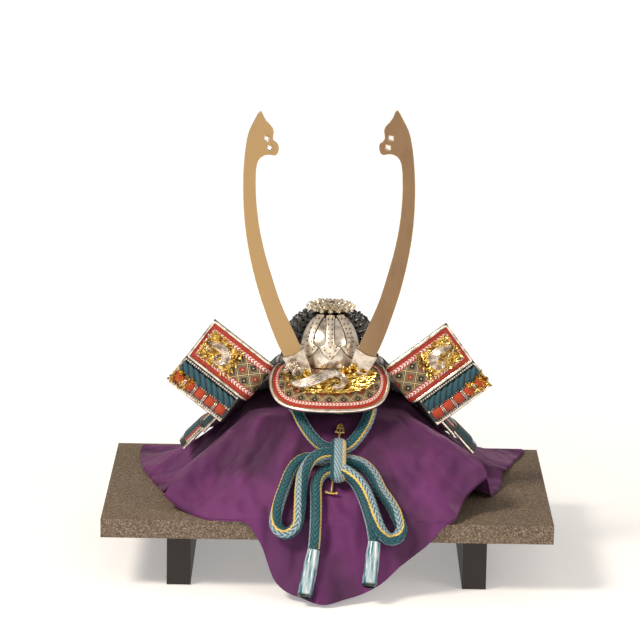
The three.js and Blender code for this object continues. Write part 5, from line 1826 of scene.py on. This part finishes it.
# %% Horn base
def visor_top(angle, share):
    here = visor_point(angle, share)
    across = visor_point(angle + 0.02, share) - visor_point(angle - 0.02, share)
    down = visor_point(angle, share + 0.02) - here
    normal = down.cross(across).normalized()
    if normal.z < 0:
        normal.negate()
    return here + normal * (VISOR["floor"] + VISOR["thick"]), normal


BASE_HALF = VISOR["half"] * 0.8


def base_spot(across, down, lift=0.0):
    angle = FRONT + math.radians(BASE_HALF) * across
    share = mix(0.2, mix(0.66, 0.4, across**2), down)
    point, normal = visor_top(angle, share)
    return point + normal * lift, normal


def oriented(normal, degrees):
    """A direction in the surface: 0 points to the viewer's right, 90 up the surface."""
    side = (Vector((1, 0, 0)) - normal * normal.x).normalized()
    up = normal.cross(side).normalized()
    if up.z < 0 and abs(up.z) > 0.2:
        up.negate()
    return side * math.cos(math.radians(degrees)) + up * math.sin(math.radians(degrees))


def ridged_sweep(piece, line, normals, width, height, ridges):
    """A cast wave: a tapering band with fine ridges along it."""
    wide = ridges * 6
    rows, ns = [], []
    for k, (point, way) in enumerate(zip(line, tangents(line))):
        t = k / (len(line) - 1)
        normal = normals[k]
        side = way.cross(normal).normalized()
        half = width(t) / 2
        row = []
        for j in range(wide + 1):
            a = 2 * j / wide - 1
            crown = height * (1 - a * a) ** 0.6 * min(1, 4 * t + 0.25, 5 * (1 - t) + 0.2)
            ripple = 0.8 * abs(math.sin(math.pi * ridges * (a + 1) / 2))
            row.append(point + side * (half * a) + normal * (crown + ripple))
        rows.append(row)
        ns.append([normal] * (wide + 1))
    piece.wall(rows, ns, -1.6, 0)


def burst(piece, rng, place, count, size):
    """Petals that stand out all round from one spot, like a cast flower or spray."""
    point, normal = place
    for k in range(count):
        turn = 2 * math.pi * (k * 0.618 + rng.uniform(-0.04, 0.04))
        tilt = math.radians(78 * ((k + 0.5) / count) ** 0.5)
        around = oriented(normal, math.degrees(turn))
        way = (around * math.sin(tilt) + normal * math.cos(tilt)).normalized()
        long = size * rng.uniform(0.8, 1.15)
        petal(piece, point + way * (size * 0.12), point + way * long, around.cross(way).cross(way), size * 0.42, 0.5)


def gold_base():
    rng = random.Random(11)
    piece = Gathered()
    rows, normals = [], []
    for t in range(9):
        line = [base_spot(2 * j / 60 - 1, t / 8) for j in range(61)]
        rows.append([p for p, _ in line])
        normals.append([n for _, n in line])
    piece.wall(rows, normals, 0.75, 2.4)
    for row in range(8):
        for column in range(34):
            across = -0.96 + 1.92 * (column + 0.5 * (row % 2)) / 34 + rng.uniform(-0.015, 0.015)
            down = 0.05 + row * 0.135 + rng.uniform(-0.03, 0.03)
            point, normal = base_spot(across, down, 2.1)
            flow = 10 - 50 * across + rng.uniform(-22, 22) if across > -0.1 else 205 + rng.uniform(-28, 28)
            way = oriented(normal, flow)
            size = rng.uniform(5.0, 7.5)
            petal(piece, point, point + way * size + normal * rng.uniform(0.8, 2.6), normal, size * 0.4, 0.9)
    for place, count, size in (
        ((0.3, 0.16, 7.5), 18, 7.5), ((0.48, 0.12, 8.5), 16, 7.0), ((0.72, 0.2, 5.0), 14, 6.5),
        ((-0.44, 0.3, 9.0), 12, 5.0),
    ):
        burst(piece, rng, base_spot(*place), count, size)
    return piece.made("gold_horn_base", [gold], "gold", ["horn_base"], sharp=40)


gold_base()


def silver_wave():
    rng = random.Random(5)
    piece = Gathered()
    plan = [
        (-0.8, 0.72, 4), (-0.68, 1.0, 5), (-0.48, 0.92, 7), (-0.26, 0.6, 9), (-0.04, 0.3, 10), (0.14, 0.26, 9.5),
        (0.25, 0.52, 8.5), (0.2, 0.82, 7.5), (0.08, 0.86, 7), (0.06, 0.66, 7),
    ]
    spots = [base_spot(*place) for place in plan]
    line = spline([p for p, _ in spots], 80)
    normals = []
    for k in range(81):
        place = k / 80 * (len(spots) - 1)
        low = min(int(place), len(spots) - 2)
        normals.append(spots[low][1].lerp(spots[low + 1][1], place - low).normalized())
    widths = [(0, 3.0), (0.18, 8.5), (0.38, 13.5), (0.55, 12.0), (0.75, 7.5), (1, 3.0)]
    ridged_sweep(piece, line, normals, lambda t: table_value(widths, t), 2.6, 8)
    for place, count, size in (
        ((-0.9, 0.3, 7.0), 24, 6.5), ((-0.76, 0.45, 9.0), 26, 7.0), ((-0.8, 0.75, 7.5), 26, 6.5),
        ((-0.6, 0.55, 9.0), 26, 7.0), ((-0.72, 0.5, 15.0), 28, 7.0), ((-0.56, 0.55, 13.5), 24, 6.5),
    ):
        burst(piece, rng, base_spot(*place), count, size)
    return piece.made("silver_wave_crest", [silver], "silver", sharp=40)


silver_wave()

# %% [markdown]
# The horns are cut from thick sheet with a satin champagne plating and a narrow bright bevel. They start
# from the curve the CAD uses: the right one is drawn as shares of its spread and height and mirrored. Two
# small round holes sit under the hooked head of each, as on the real ones.

# %% Horns and their sockets
HORN = {"y": -56, "foot": 216, "height": 254, "spread": 86, "thick": 2.2, "tilt": 1.2}
HORN_OUTER = [
    (0.44, -0.035), (0.591, 0.054), (0.781, 0.228), (0.866, 0.328), (0.94, 0.444), (0.985, 0.559), (1, 0.673),
    (0.992, 0.772), (0.97, 0.849), (0.93, 0.917), (0.877, 0.957), (0.829, 0.988),
]
HORN_HEAD = [
    (0.805, 1.001), (0.785, 1.003), (0.765, 0.994), (0.745, 0.978), (0.719, 0.964), (0.682, 0.95), (0.65, 0.936),
    (0.637, 0.921), (0.641, 0.907), (0.645, 0.895), (0.64, 0.887), (0.602, 0.877), (0.584, 0.867), (0.579, 0.855),
    (0.587, 0.839), (0.608, 0.829), (0.635, 0.826),
]
HORN_INNER = [
    (0.659, 0.828), (0.722, 0.829), (0.781, 0.821), (0.822, 0.803), (0.843, 0.771), (0.849, 0.73), (0.847, 0.66),
    (0.817, 0.551), (0.756, 0.444), (0.677, 0.348), (0.573, 0.236), (0.37, 0.08), (0.235, -0.035),
]
BEVEL = 0.5
HEART_HOLES = [(0.722, 0.894), (0.688, 0.857)]


def hole_rims(side, sign):
    """Raised crescents round the two holes, on both faces."""
    piece = Gathered()
    for spot in HEART_HOLES:
        x, z = horn_plan(spot)
        for face in (-1, 1):
            ring = [
                stood(
                    x + 2.9 * math.cos(math.radians(a)), face * HORN["thick"] / 2,
                    z + 2.9 * math.sin(math.radians(a)), sign,
                )
                for a in range(20, 331, 10)
            ]
            capped_tube(piece, ring, lambda t: 0.35 + 0.4 * math.sin(math.pi * t), 8)
    return piece.made(f"horn_crescents_{side}", [champagne_highlight_edge], "champagne_silver", sharp=60)


def horn_plan(spot):
    return (spot[0] * HORN["spread"], spot[1] * HORN["height"])


def stood(x, depth, z, sign):
    """A point of the horn's plan, mirrored for the left side, leaning with the pair."""
    turn = -math.radians(HORN["tilt"])
    x = sign * x
    return Vector(
        (
            x * math.cos(turn) + z * math.sin(turn),
            HORN["y"] + depth,
            HORN["foot"] - x * math.sin(turn) + z * math.cos(turn),
        )
    )


def horn(side, sign):
    curve = bpy.data.curves.new(f"horn_plan_{side}", "CURVE")
    curve.dimensions = "2D"
    curve.fill_mode = "BOTH"
    curve.extrude = (HORN["thick"] / 2 - BEVEL) / 1000
    curve.bevel_depth = BEVEL / 1000
    curve.bevel_resolution = 2
    curve.offset = -BEVEL / 1000
    outline = [tuple(p[:2]) for p in spline([(*horn_plan(s), 0) for s in HORN_OUTER], 60)]
    outline += [tuple(p[:2]) for p in spline([(*horn_plan(s), 0) for s in HORN_HEAD], 50)]
    outline += [tuple(p[:2]) for p in spline([(*horn_plan(s), 0) for s in HORN_INNER], 60)]
    holes = []
    for spot in HEART_HOLES:
        x, z = horn_plan(spot)
        holes.append(
            [(x + 2.0 * math.cos(2 * math.pi * k / 20), z + 2.0 * math.sin(2 * math.pi * k / 20)) for k in range(20)]
        )
    for loop in [outline] + holes:
        line = curve.splines.new("POLY")
        line.points.add(len(loop) - 1)
        for target, (x, z) in zip(line.points, loop):
            target.co = (x / 1000, z / 1000, 0, 1)
        line.use_cyclic_u = True
    holder = bpy.data.objects.new(f"horn_plan_{side}", curve)
    bpy.context.scene.collection.objects.link(holder)
    bpy.context.view_layer.update()
    mesh = bpy.data.meshes.new_from_object(holder.evaluated_get(bpy.context.evaluated_depsgraph_get()))
    bpy.data.objects.remove(holder)
    for vertex in mesh.vertices:
        x, z, depth = vertex.co
        vertex.co = placed(stood(x * 1000, -depth * 1000, z * 1000, sign))
    work = bmesh.new()
    work.from_mesh(mesh)
    bmesh.ops.remove_doubles(work, verts=work.verts, dist=0.00002)
    bmesh.ops.recalc_face_normals(work, faces=work.faces)
    work.to_mesh(mesh)
    work.free()
    mesh.name = f"satin_horn_{side}"
    mesh.materials.clear()
    mesh.materials.append(champagne)
    mesh.materials.append(champagne_highlight_edge)
    for polygon in mesh.polygons:
        polygon.use_smooth = abs(polygon.normal.y) < 0.999
        polygon.material_index = 1 if polygon.use_smooth else 0
    return added(f"satin_horn_{side}", mesh, [f"horn_{side}"])


for side, sign in (("left", -1), ("right", 1)):
    horn(side, sign)
    hole_rims(side, sign)
    socket = bpy.data.objects[f"horn_socket_{side}"]
    for slot in socket.material_slots:
        slot.material = socket_silver

# %% [markdown]
# The neck guard is four lames that widen downwards, each a curved plate laced to the one above. The two upper
# ones turn out at the front into wings. The stations below walk round the right half: the quarter of the
# back, the straight run of the side, the fold, and the wing.

# %% Neck guard surfaces
LAME = {"thick": 2.0, "gap": 0.51, "heights": (48, 36, 29, 30), "overlap": 3}
FOLD = {"radius": 9, "turn": 78, "wing": 69, "rise": 36.2, "lean": 8.5}
LAME_STARTS = [sum(h - LAME["overlap"] for h in LAME["heights"][:k]) for k in range(4)]


def wing_direction():
    rise, lean = math.radians(FOLD["rise"]), math.radians(FOLD["lean"])
    return Vector((math.cos(rise) * math.cos(lean), math.cos(rise) * math.sin(lean), math.sin(rise)))


def wing_down():
    rise = math.radians(FOLD["rise"])
    return Vector((math.sin(rise), 0, -math.cos(rise)))


def guard_stations(quarter, run, fold, wing):
    half_wide = BOWL["a"] + BAND_REACH + LAME["gap"]
    half_long = BOWL["b"] + BAND_REACH + LAME["gap"]
    dipped = lambda out, dip: out * math.cos(math.radians(dip)) + Vector((0, 0, -math.sin(math.radians(dip))))
    stations = []
    for k in range(quarter + 1):
        angle = math.pi / 2 * (1 - k / quarter)
        out = Vector((math.cos(angle) / half_wide, math.sin(angle) / half_long, 0)).normalized()
        top = Vector((half_wide * math.cos(angle), BOWL["y"] + half_long * math.sin(angle), BAND_TOP))
        stations.append({"part": "body", "top": top, "down": dipped(out, mix(54, 45, smooth(k / quarter)))})
    for k in range(1, run + 1):
        t = k / run
        top = Vector((half_wide + 3 * t * t, BOWL["y"] - 42 * t, BAND_TOP + 4.5 * smooth(t)))
        stations.append({"part": "side", "top": top, "down": dipped(Vector((1, 0, 0)), mix(45, 53, smooth(t)))})
    start = stations[-1]
    for k in range(1, fold + 1):
        t = k / fold
        turn = math.radians(FOLD["turn"]) * t
        outward = FOLD["radius"] * (1 - math.cos(turn))
        top = start["top"] + Vector(
            (outward, -FOLD["radius"] * math.sin(turn), outward * math.tan(math.radians(FOLD["rise"])))
        )
        stations.append({"part": "fold", "top": top, "down": start["down"].lerp(wing_down(), smooth(t)).normalized()})
    bend = stations[-1]["top"]
    for k in range(1, wing + 1):
        stations.append(
            {"part": "wing", "top": bend + wing_direction() * (FOLD["wing"] * k / wing), "down": wing_down()}
        )
    for k, station in enumerate(stations):
        before, after = stations[max(k - 1, 0)]["top"], stations[min(k + 1, len(stations) - 1)]["top"]
        along = Vector((1, 0, 0)) if k == 0 else (after - before).normalized()
        station["out"] = along.cross(station["down"]).normalized()
    return stations


def mirror(station):
    flipped = lambda v: Vector((-v.x, v.y, v.z))
    return {"part": station["part"], **{key: flipped(station[key]) for key in ("top", "down", "out")}}


RIGHT = guard_stations(36, 12, 16, 24)
ALL = [mirror(s) for s in reversed(RIGHT[1:])] + RIGHT


def station_runs(stations, down):
    runs = [0.0]
    spots = [s["top"] + s["down"] * down for s in stations]
    for p, q in zip(spots, spots[1:]):
        runs.append(runs[-1] + (q - p).length)
    middle = runs[len(runs) // 2]
    return [r - middle + 500 for r in runs]


for k, height in enumerate(LAME["heights"]):
    kept = [s for s in ALL if k < 2 or s["part"] == "body" or (s["part"] == "side" and s["top"].y > BOWL["y"] - 20)]
    start, offset = LAME_STARTS[k], k * (LAME["thick"] + LAME["gap"])
    rows = [[s["top"] + s["down"] * (start + height * i / 12) for s in kept] for i in range(13)]
    normals = [[s["out"] for s in kept] for _ in range(13)]
    runs = station_runs(kept, start + height / 2)
    piece = Gathered()
    piece.wall(
        rows,
        normals,
        offset,
        offset + LAME["thick"],
        flat=lambda i, j: (runs[j], start + height * i / 12),
        rim_slot=1,
    )
    piece.made(
        f"lacquered_lame_{k + 1}", [black_lacquer, bright_silver], "black_lacquer", [f"neck_lame_{k + 1}"], sharp=35
    )

# %% [markdown]
# Behind the wings the lames carry close vertical lacing, with a silver rim on each lower lame's front end. The
# lacing is a corrugated layer just proud of the lacquer, one ridge for each braid.

# %% Lacing on the lames
body = [s for s in ALL if s["part"] in ("body", "side")]
for k, height in enumerate(LAME["heights"]):
    first, last = LAME_STARTS[k] + (4 if k == 0 else 1.5), LAME_STARTS[k] + height - (5 if k < 3 else 7)
    kept = [s for s in body if k < 2 or s["part"] == "body" or s["top"].y > BOWL["y"] - 20]
    fine, runs = [], station_runs(kept, (first + last) / 2)
    for j in range(len(kept) - 1):
        for n in range(5):
            t = n / 5
            fine.append((
                kept[j]["top"].lerp(kept[j + 1]["top"], t), kept[j]["down"].lerp(kept[j + 1]["down"], t).normalized(),
                kept[j]["out"].lerp(kept[j + 1]["out"], t).normalized(), mix(runs[j], runs[j + 1], t),
            ))
    offset = k * (LAME["thick"] + LAME["gap"]) + LAME["thick"]
    rows = [
        [
            top + down * mix(first, last, i / 14) + out * (0.9 * abs(math.sin(math.pi * run / 5.0)) ** 0.7)
            for top, down, out, run in fine
        ]
        for i in range(15)
    ]
    normals = [[out for _, _, out, _ in fine] for _ in range(15)]
    piece = Gathered()
    piece.wall(rows, normals, offset - 0.3, offset + 0.25, flat=lambda i, j: (fine[j][3], mix(first, last, i / 14)))
    piece.made(f"lame_lacing_{k + 1}", [lacing_silk], "teal_silk", sharp=60)
    if k >= 2:
        for sign, station in (("left", kept[0]), ("right", kept[-1])):
            ends = [
                (
                    station["top"] + station["down"] * (
                        LAME_STARTS[k] + height * n / 8
                    ) + station["out"] * (offset - 1),
                    station["out"],
                )
                for n in range(9)
            ]
            rounded_bar(f"lame_end_rim_{k + 1}_{sign}", ends, 1.3, 1.7, silver, "silver")

# %% [markdown]
# Each wing shows its inner face: red leather hem and white plaited stitching round the stencilled lattice, a
# silver rim, and gold relief with a silver swirl over its outer two thirds. Under it the second lame carries
# a row of white picots, a thick twisted teal braid and a row of red puffs tied with silver.

# %% Wings
RIM = {"wide": 3.0, "thick": 2.6}
BRAID = {"across": 10.5, "apart": 1.2}


def wing_spot(stations, along, down, offset):
    place = along * (len(stations) - 1)
    k = min(int(place), len(stations) - 2)
    t = place - k
    a, b = stations[k], stations[k + 1]
    way = a["down"].lerp(b["down"], t).normalized()
    out = a["out"].lerp(b["out"], t).normalized()
    return a["top"].lerp(b["top"], t) + way * down + out * offset, out, way


def wing_pieces(side, sign):
    rng = random.Random(23)
    source = [s for s in RIGHT if s["part"] in ("fold", "wing")]
    stations = source if sign > 0 else [mirror(s) for s in source]
    panel = stations[-25:]
    height = LAME["heights"][0]

    edge = RIM["wide"] + FIT
    runs = [0.0]
    for p, q in zip(stations, stations[1:]):
        runs.append(runs[-1] + (q["top"] - p["top"]).length)
    rows = []
    for i in range(41):
        row = []
        for j, s in enumerate(stations):
            top = s["top"] if j < len(stations) - 1 else s["top"].lerp(
                stations[-2]["top"], min(edge / (s["top"] - stations[-2]["top"]).length, 1)
            )
            row.append(top + s["down"] * mix(edge, height - edge, i / 40))
        rows.append(row)
    normals = [[-s["out"] for s in stations] for _ in rows]
    depth = height - 2 * edge
    piece = Gathered()
    piece.wall(
        rows,
        normals,
        LAME["gap"],
        LAME["gap"] + 1.0,
        flat=lambda i, j: (runs[j] * sign + 300, depth * i / 40 + 100),
        edge=lambda i, j: (
            min(depth * i / 40, depth * (1 - i / 40), runs[-1] - runs[j] - edge + 1.5) + 0.6,
            runs[j] if min(i, 40 - i) * depth / 40 < runs[-1] - runs[j] - edge else depth * i / 40,
        ),
    )
    piece.made(f"leather_wing_facing_{side}", [leather], "red_leather", [f"wing_facing_{side}"], sharp=60)

    path = []
    inset = RIM["wide"] / 2
    bare = stations[8:]
    for s in bare[:-1]:
        path.append((s["top"] + s["down"] * inset, s["out"]))
    end, near = bare[-1], (bare[-2]["top"] - bare[-1]["top"]).normalized() * inset
    for n in range(9):
        path.append((end["top"] + near + end["down"] * mix(inset + 0.6, height - inset - 0.6, n / 8), end["out"]))
    for s in reversed(bare[:-1]):
        path.append((s["top"] + s["down"] * (height - inset), s["out"]))
    lifted = [(p - n * (FIT + RIM["thick"] / 2), n) for p, n in path]
    rounded_bar(f"silver_wing_rim_{side}", lifted, inset, RIM["thick"] / 2, silver, "silver", [f"wing_rim_{side}"])

    floor = LAME["gap"] * 1.6 + 1.0
    piece = Gathered()
    rows, normals = [], []
    for i in range(9):
        line = [wing_spot(panel, mix(0.42, 0.9, j / 16), height * mix(0.24, 0.76, i / 8), 0) for j in range(17)]
        rows.append([p for p, _, _ in line])
        normals.append([-n for _, n, _ in line])
    piece.wall(rows, normals, floor, floor + 0.7)
    for row in range(10):
        for column in range(17):
            along = 0.36 + 0.53 * (column + 0.5 * (row % 2)) / 17 + rng.uniform(-0.015, 0.015)
            down = height * (0.22 + 0.56 * row / 9 + rng.uniform(-0.02, 0.02))
            point, out, way = wing_spot(panel, along, down, -floor - 0.6)
            face = -out
            outward = way.cross(face).normalized()
            if outward.x * sign < 0:
                outward.negate()
            turn = math.radians(rng.uniform(-75, 75) + (0 if along > 0.5 else 180))
            tip = outward * math.cos(turn) - way * math.sin(turn)
            size = rng.uniform(4.0, 6.0)
            petal(piece, point, point + tip * size + face * rng.uniform(0.5, 2.6), face, size * 0.42, 0.8)
    piece.made(f"gold_wing_relief_{side}", [gold], "gold", [f"wing_scroll_{side}"], sharp=40)

    piece = Gathered()
    plan = [
        (0.88, 0.46), (0.78, 0.42), (0.66, 0.38), (0.55, 0.42), (0.5, 0.56), (0.56, 0.68), (0.64, 0.62), (0.6, 0.52)
    ]
    spots = [wing_spot(panel, a, height * d, -floor - 2.4) for a, d in plan]
    line = spline([p for p, _, _ in spots], 44)
    ridged_sweep(
        piece,
        line,
        [-spots[0][1]] * 45,
        lambda t: table_value([(0, 2.5), (0.25, 9.0), (0.5, 11.0), (0.7, 7.0), (1, 2.5)], t),
        2.2,
        7,
    )
    for _ in range(12):
        along, down = rng.uniform(0.74, 0.88), height * rng.uniform(0.34, 0.6)
        point, out, way = wing_spot(panel, along, down, -floor - 1.6)
        face = -out
        outward = way.cross(face).normalized()
        turn = rng.uniform(0, 2 * math.pi)
        size = rng.uniform(4, 7)
        petal(
            piece,
            point,
            point + (outward * math.cos(turn) + way * math.sin(turn)) * size + face * 1.6,
            face,
            size * 0.4,
            0.8,
        )
    piece.made(f"silver_wing_swirl_{side}", [silver], "silver", sharp=40)

    # Twisted teal braid
    braid_down = height + 5 + BRAID["across"] / 2
    piece = Gathered()
    rings, depths = [], []
    steps, sides = 150, 36
    total = FOLD["wing"] * 0.93
    for k in range(steps + 1):
        point, out, way = wing_spot(panel, mix(0.04, 0.97, k / steps), braid_down, 2 - BRAID["across"] * 0.36)
        ring, gaps = [], []
        run = total * k / steps
        for j in range(sides):
            theta = 2 * math.pi * j / sides
            lobe = abs(math.cos(1.5 * theta + math.pi * run / 7.5))
            depth = 1 - lobe
            radius = 5.7 - 2.2 * depth
            ring.append(point + way * (radius * math.cos(theta)) + out * (radius * 0.72 * math.sin(theta)))
            gaps.append(depth)
        rings.append(ring)
        depths.append(gaps)
    first = piece.grid(rings, lambda i, j: (j, i), lambda i, j: (depths[i][j % sides], 0), around=True)
    piece.cap(first, sides, flip=True)
    piece.cap(first + steps * sides, sides)
    piece.made(f"twisted_wing_braid_{side}", [teal_silk], "teal_silk", [f"wing_braid_{side}"], sharp=180)

    # Red puffs and the silver ties between them
    puff_down = braid_down + BRAID["across"] + BRAID["apart"]
    piece, ties = Gathered(), Gathered()
    count = 5
    for n in range(count):
        low, high = 0.04 + 0.93 * n / count, 0.04 + 0.93 * (n + 1) / count
        rings, depths = [], []
        for k in range(15):
            t = k / 14
            point, out, way = wing_spot(panel, mix(low, high, t), puff_down, 2 - BRAID["across"] * 0.36)
            swell = (math.sin(math.pi * mix(0.08, 0.92, t))) ** 0.45
            ring, gaps = [], []
            for j in range(18):
                theta = 2 * math.pi * j / 18
                fuzz = 0.22 * math.sin(5 * theta + 11 * t + n) + 0.14 * math.sin(9 * theta - 17 * t)
                radius = 5.5 * swell + fuzz
                ring.append(point + way * (radius * math.cos(theta)) + out * (radius * 0.74 * math.sin(theta)))
                # This depth only darkens the pinched ends of each puff, as painted shade in the material.
                gaps.append(limited((1 - swell) * 1.4))
            rings.append(ring)
            depths.append(gaps)
        first = piece.grid(rings, lambda i, j: (j, i), lambda i, j: (depths[i][j % 18], 0), around=True)
        piece.cap(first, 18, flip=True)
        piece.cap(first + 14 * 18, 18)
        if n:
            point, out, way = wing_spot(panel, low, puff_down, 2 - BRAID["across"] * 0.36)
            for shift in (-0.8, 0.8):
                aside = way.cross(out).normalized() * shift
                loop = [
                    point + aside + way * (5.9 * math.cos(2 * math.pi * m / 16)) + out * (
                        4.2 * math.sin(2 * math.pi * m / 16)
                    )
                    for m in range(17)
                ]
                capped_tube(ties, loop, 0.55, 8)
    piece.made(f"red_wing_puffs_{side}", [red_silk], "orange_silk", [f"wing_puffs_{side}"], sharp=180)
    ties.made(f"silver_puff_ties_{side}", [silver], "silver", sharp=60)

    # Silver rim along the second lame's lower edge
    foot = LAME_STARTS[1] + LAME["heights"][1]
    trim = []
    for k in range(25):
        point, out, _ = wing_spot(panel, mix(0.02, 0.985, k / 24), foot - 1.5, 1.3)
        trim.append((point, out))
    for k in range(1, 9):
        point, out, _ = wing_spot(panel, 0.985, mix(foot - 1.5, height + 3, k / 8), 1.3)
        trim.append((point, out))
    rounded_bar(f"second_lame_rim_{side}", trim, 1.5, 1.9, silver, "silver")

    # White picots above and below the braid, and gold filigree at the outer end
    picots = []
    for n in range(26):
        along = 0.03 + 0.94 * n / 25
        for down, lean in ((height + 2.6, -0.3), (braid_down + 5.9, 0.3), (foot - 3.6, 0.3)):
            point, out, way = wing_spot(panel, along, down, 0.6)
            picots.append((point, (-out + way * lean).normalized()))
    scattered(f"white_picots_{side}", picots, 1.15, 0.5, 3.2, white_silk, spread=0.2, sides=7)
    piece = Gathered()
    for _ in range(90):
        along, down = rng.uniform(0.7, 0.99), rng.uniform(puff_down - 6.5, puff_down + 6)
        point, out, way = wing_spot(panel, along, down, rng.uniform(-3.2, -1.2))
        face = -out
        outward = way.cross(face).normalized()
        turn = rng.uniform(0, 2 * math.pi)
        size = rng.uniform(3.5, 6.0)
        petal(
            piece,
            point,
            point + (outward * math.cos(turn) + way * math.sin(turn)) * size + face * 3.2,
            face,
            size * 0.42,
            1.0,
        )
    piece.made(f"gold_filigree_{side}", [gold], "gold", sharp=40)


for side, sign in (("left", -1), ("right", 1)):
    wing_pieces(side, sign)

# %% [markdown]
# The low table is a board with a granular coating on two dark wooden runners. The block and the post that
# carry the helmet are plain wood and hardly show. Their CAD shapes are right, so they only take a finish.

# %% Table, block and post
for node, finish in (
    ("table_top", speckled), ("table_leg_left", dark_wood), ("table_leg_right", dark_wood),
    ("stand_block", plain_wood), ("stand_post", plain_wood),
):
    for slot in bpy.data.objects[node].material_slots:
        slot.material = finish
    print(f"{node}: {finish.name}")

# %% [markdown]
# A plain pale sweep for a floor, with a painted glow that is weaker near the table, as painted shade round it,
# and soft studio light: one large panel from the upper left, a weaker one from the right and a low one in front,
# so the silver has both bright and dark things to reflect.


# %% Floor and light
def pale_floor():
    made_material, tree = started("pale_floor")
    base = add(
        tree,
        "Mix",
        {
            0: add(tree, "TexNoise", {"Vector": millimetres(tree), "Scale": 1 / 400}),
            6: colour("#f0f2f5"),
            7: colour("#f5f7fa"),
        },
        **COLOURS,
    )
    reach = add(tree, "VectorMath", {0: millimetres(tree)}, out="Value", operation="LENGTH")
    # Painted glow: the floor emits light, weaker near the table, which deepens the shade round it.
    painted_floor_glow = add(
        tree, "Math", (add(tree, "MapRange", (reach, 300.0, 1300.0), **SMOOTH), 0.34, 0.3), operation="MULTIPLY_ADD"
    )
    return finished_material(made_material, tree, base, 0.7, Emission_Color=colour("#ffffff"), Emission_Strength=painted_floor_glow)


floor_mesh = bpy.data.meshes.new("floor")
floor_mesh.from_pydata([(-6, -6, -0.0004), (6, -6, -0.0004), (6, 6, -0.0004), (-6, 6, -0.0004)], [], [(0, 1, 2, 3)])
floor_mesh.materials.append(pale_floor())
floor = bpy.data.objects.new("floor", floor_mesh)
bpy.context.scene.collection.objects.link(floor)


def panel_light(name, spot, target, width, height, power, tint="#fff1e0"):
    light = bpy.data.lights.new(name, "AREA")
    light.shape = "RECTANGLE"
    light.size, light.size_y, light.energy = width, height, power
    light.color = colour(tint)[:3]
    holder = bpy.data.objects.new(name, light)
    bpy.context.scene.collection.objects.link(holder)
    holder.location = spot
    holder.rotation_euler = (Vector(target) - Vector(spot)).to_track_quat("-Z", "Y").to_euler()
    print(f"{name} light: {power} W from {(Vector(target) - Vector(spot)).length:.2f} m")


panel_light("key", (-1.3, -1.1, 1.9), (0, 0, 0.15), 0.6, 0.6, 44)
panel_light("fill", (1.5, -1.2, 1.1), (0, 0, 0.2), 0.7, 0.7, 8)
panel_light("front", (0.1, -2.6, 0.9), (0, 0, 0.2), 1.0, 0.4, 4)

world = bpy.data.worlds.new("studio")
world.use_nodes = True
tree = world.node_tree
tree.nodes.clear()
way = add(tree, "TexCoord", out="Generated")
height = add(tree, "SeparateXYZ", (way,), 2)
patches = add(tree, "TexNoise", {"Vector": way, "Scale": 2.2, "Detail": 1.0})
room = add(
    tree,
    "Mix",
    {0: add(tree, "MapRange", (height, -0.2, 0.9), **SMOOTH), 6: colour("#ece2d6"), 7: colour("#fff8ee")},
    **COLOURS,
)
room = add(
    tree, "Mix", {0: add(tree, "MapRange", (patches, 0.5, 0.62), **SMOOTH), 6: room, 7: colour("#8a8176")}, **COLOURS
)
add(tree, "OutputWorld", (add(tree, "Background", (room, 0.6)),))
bpy.context.scene.world = world
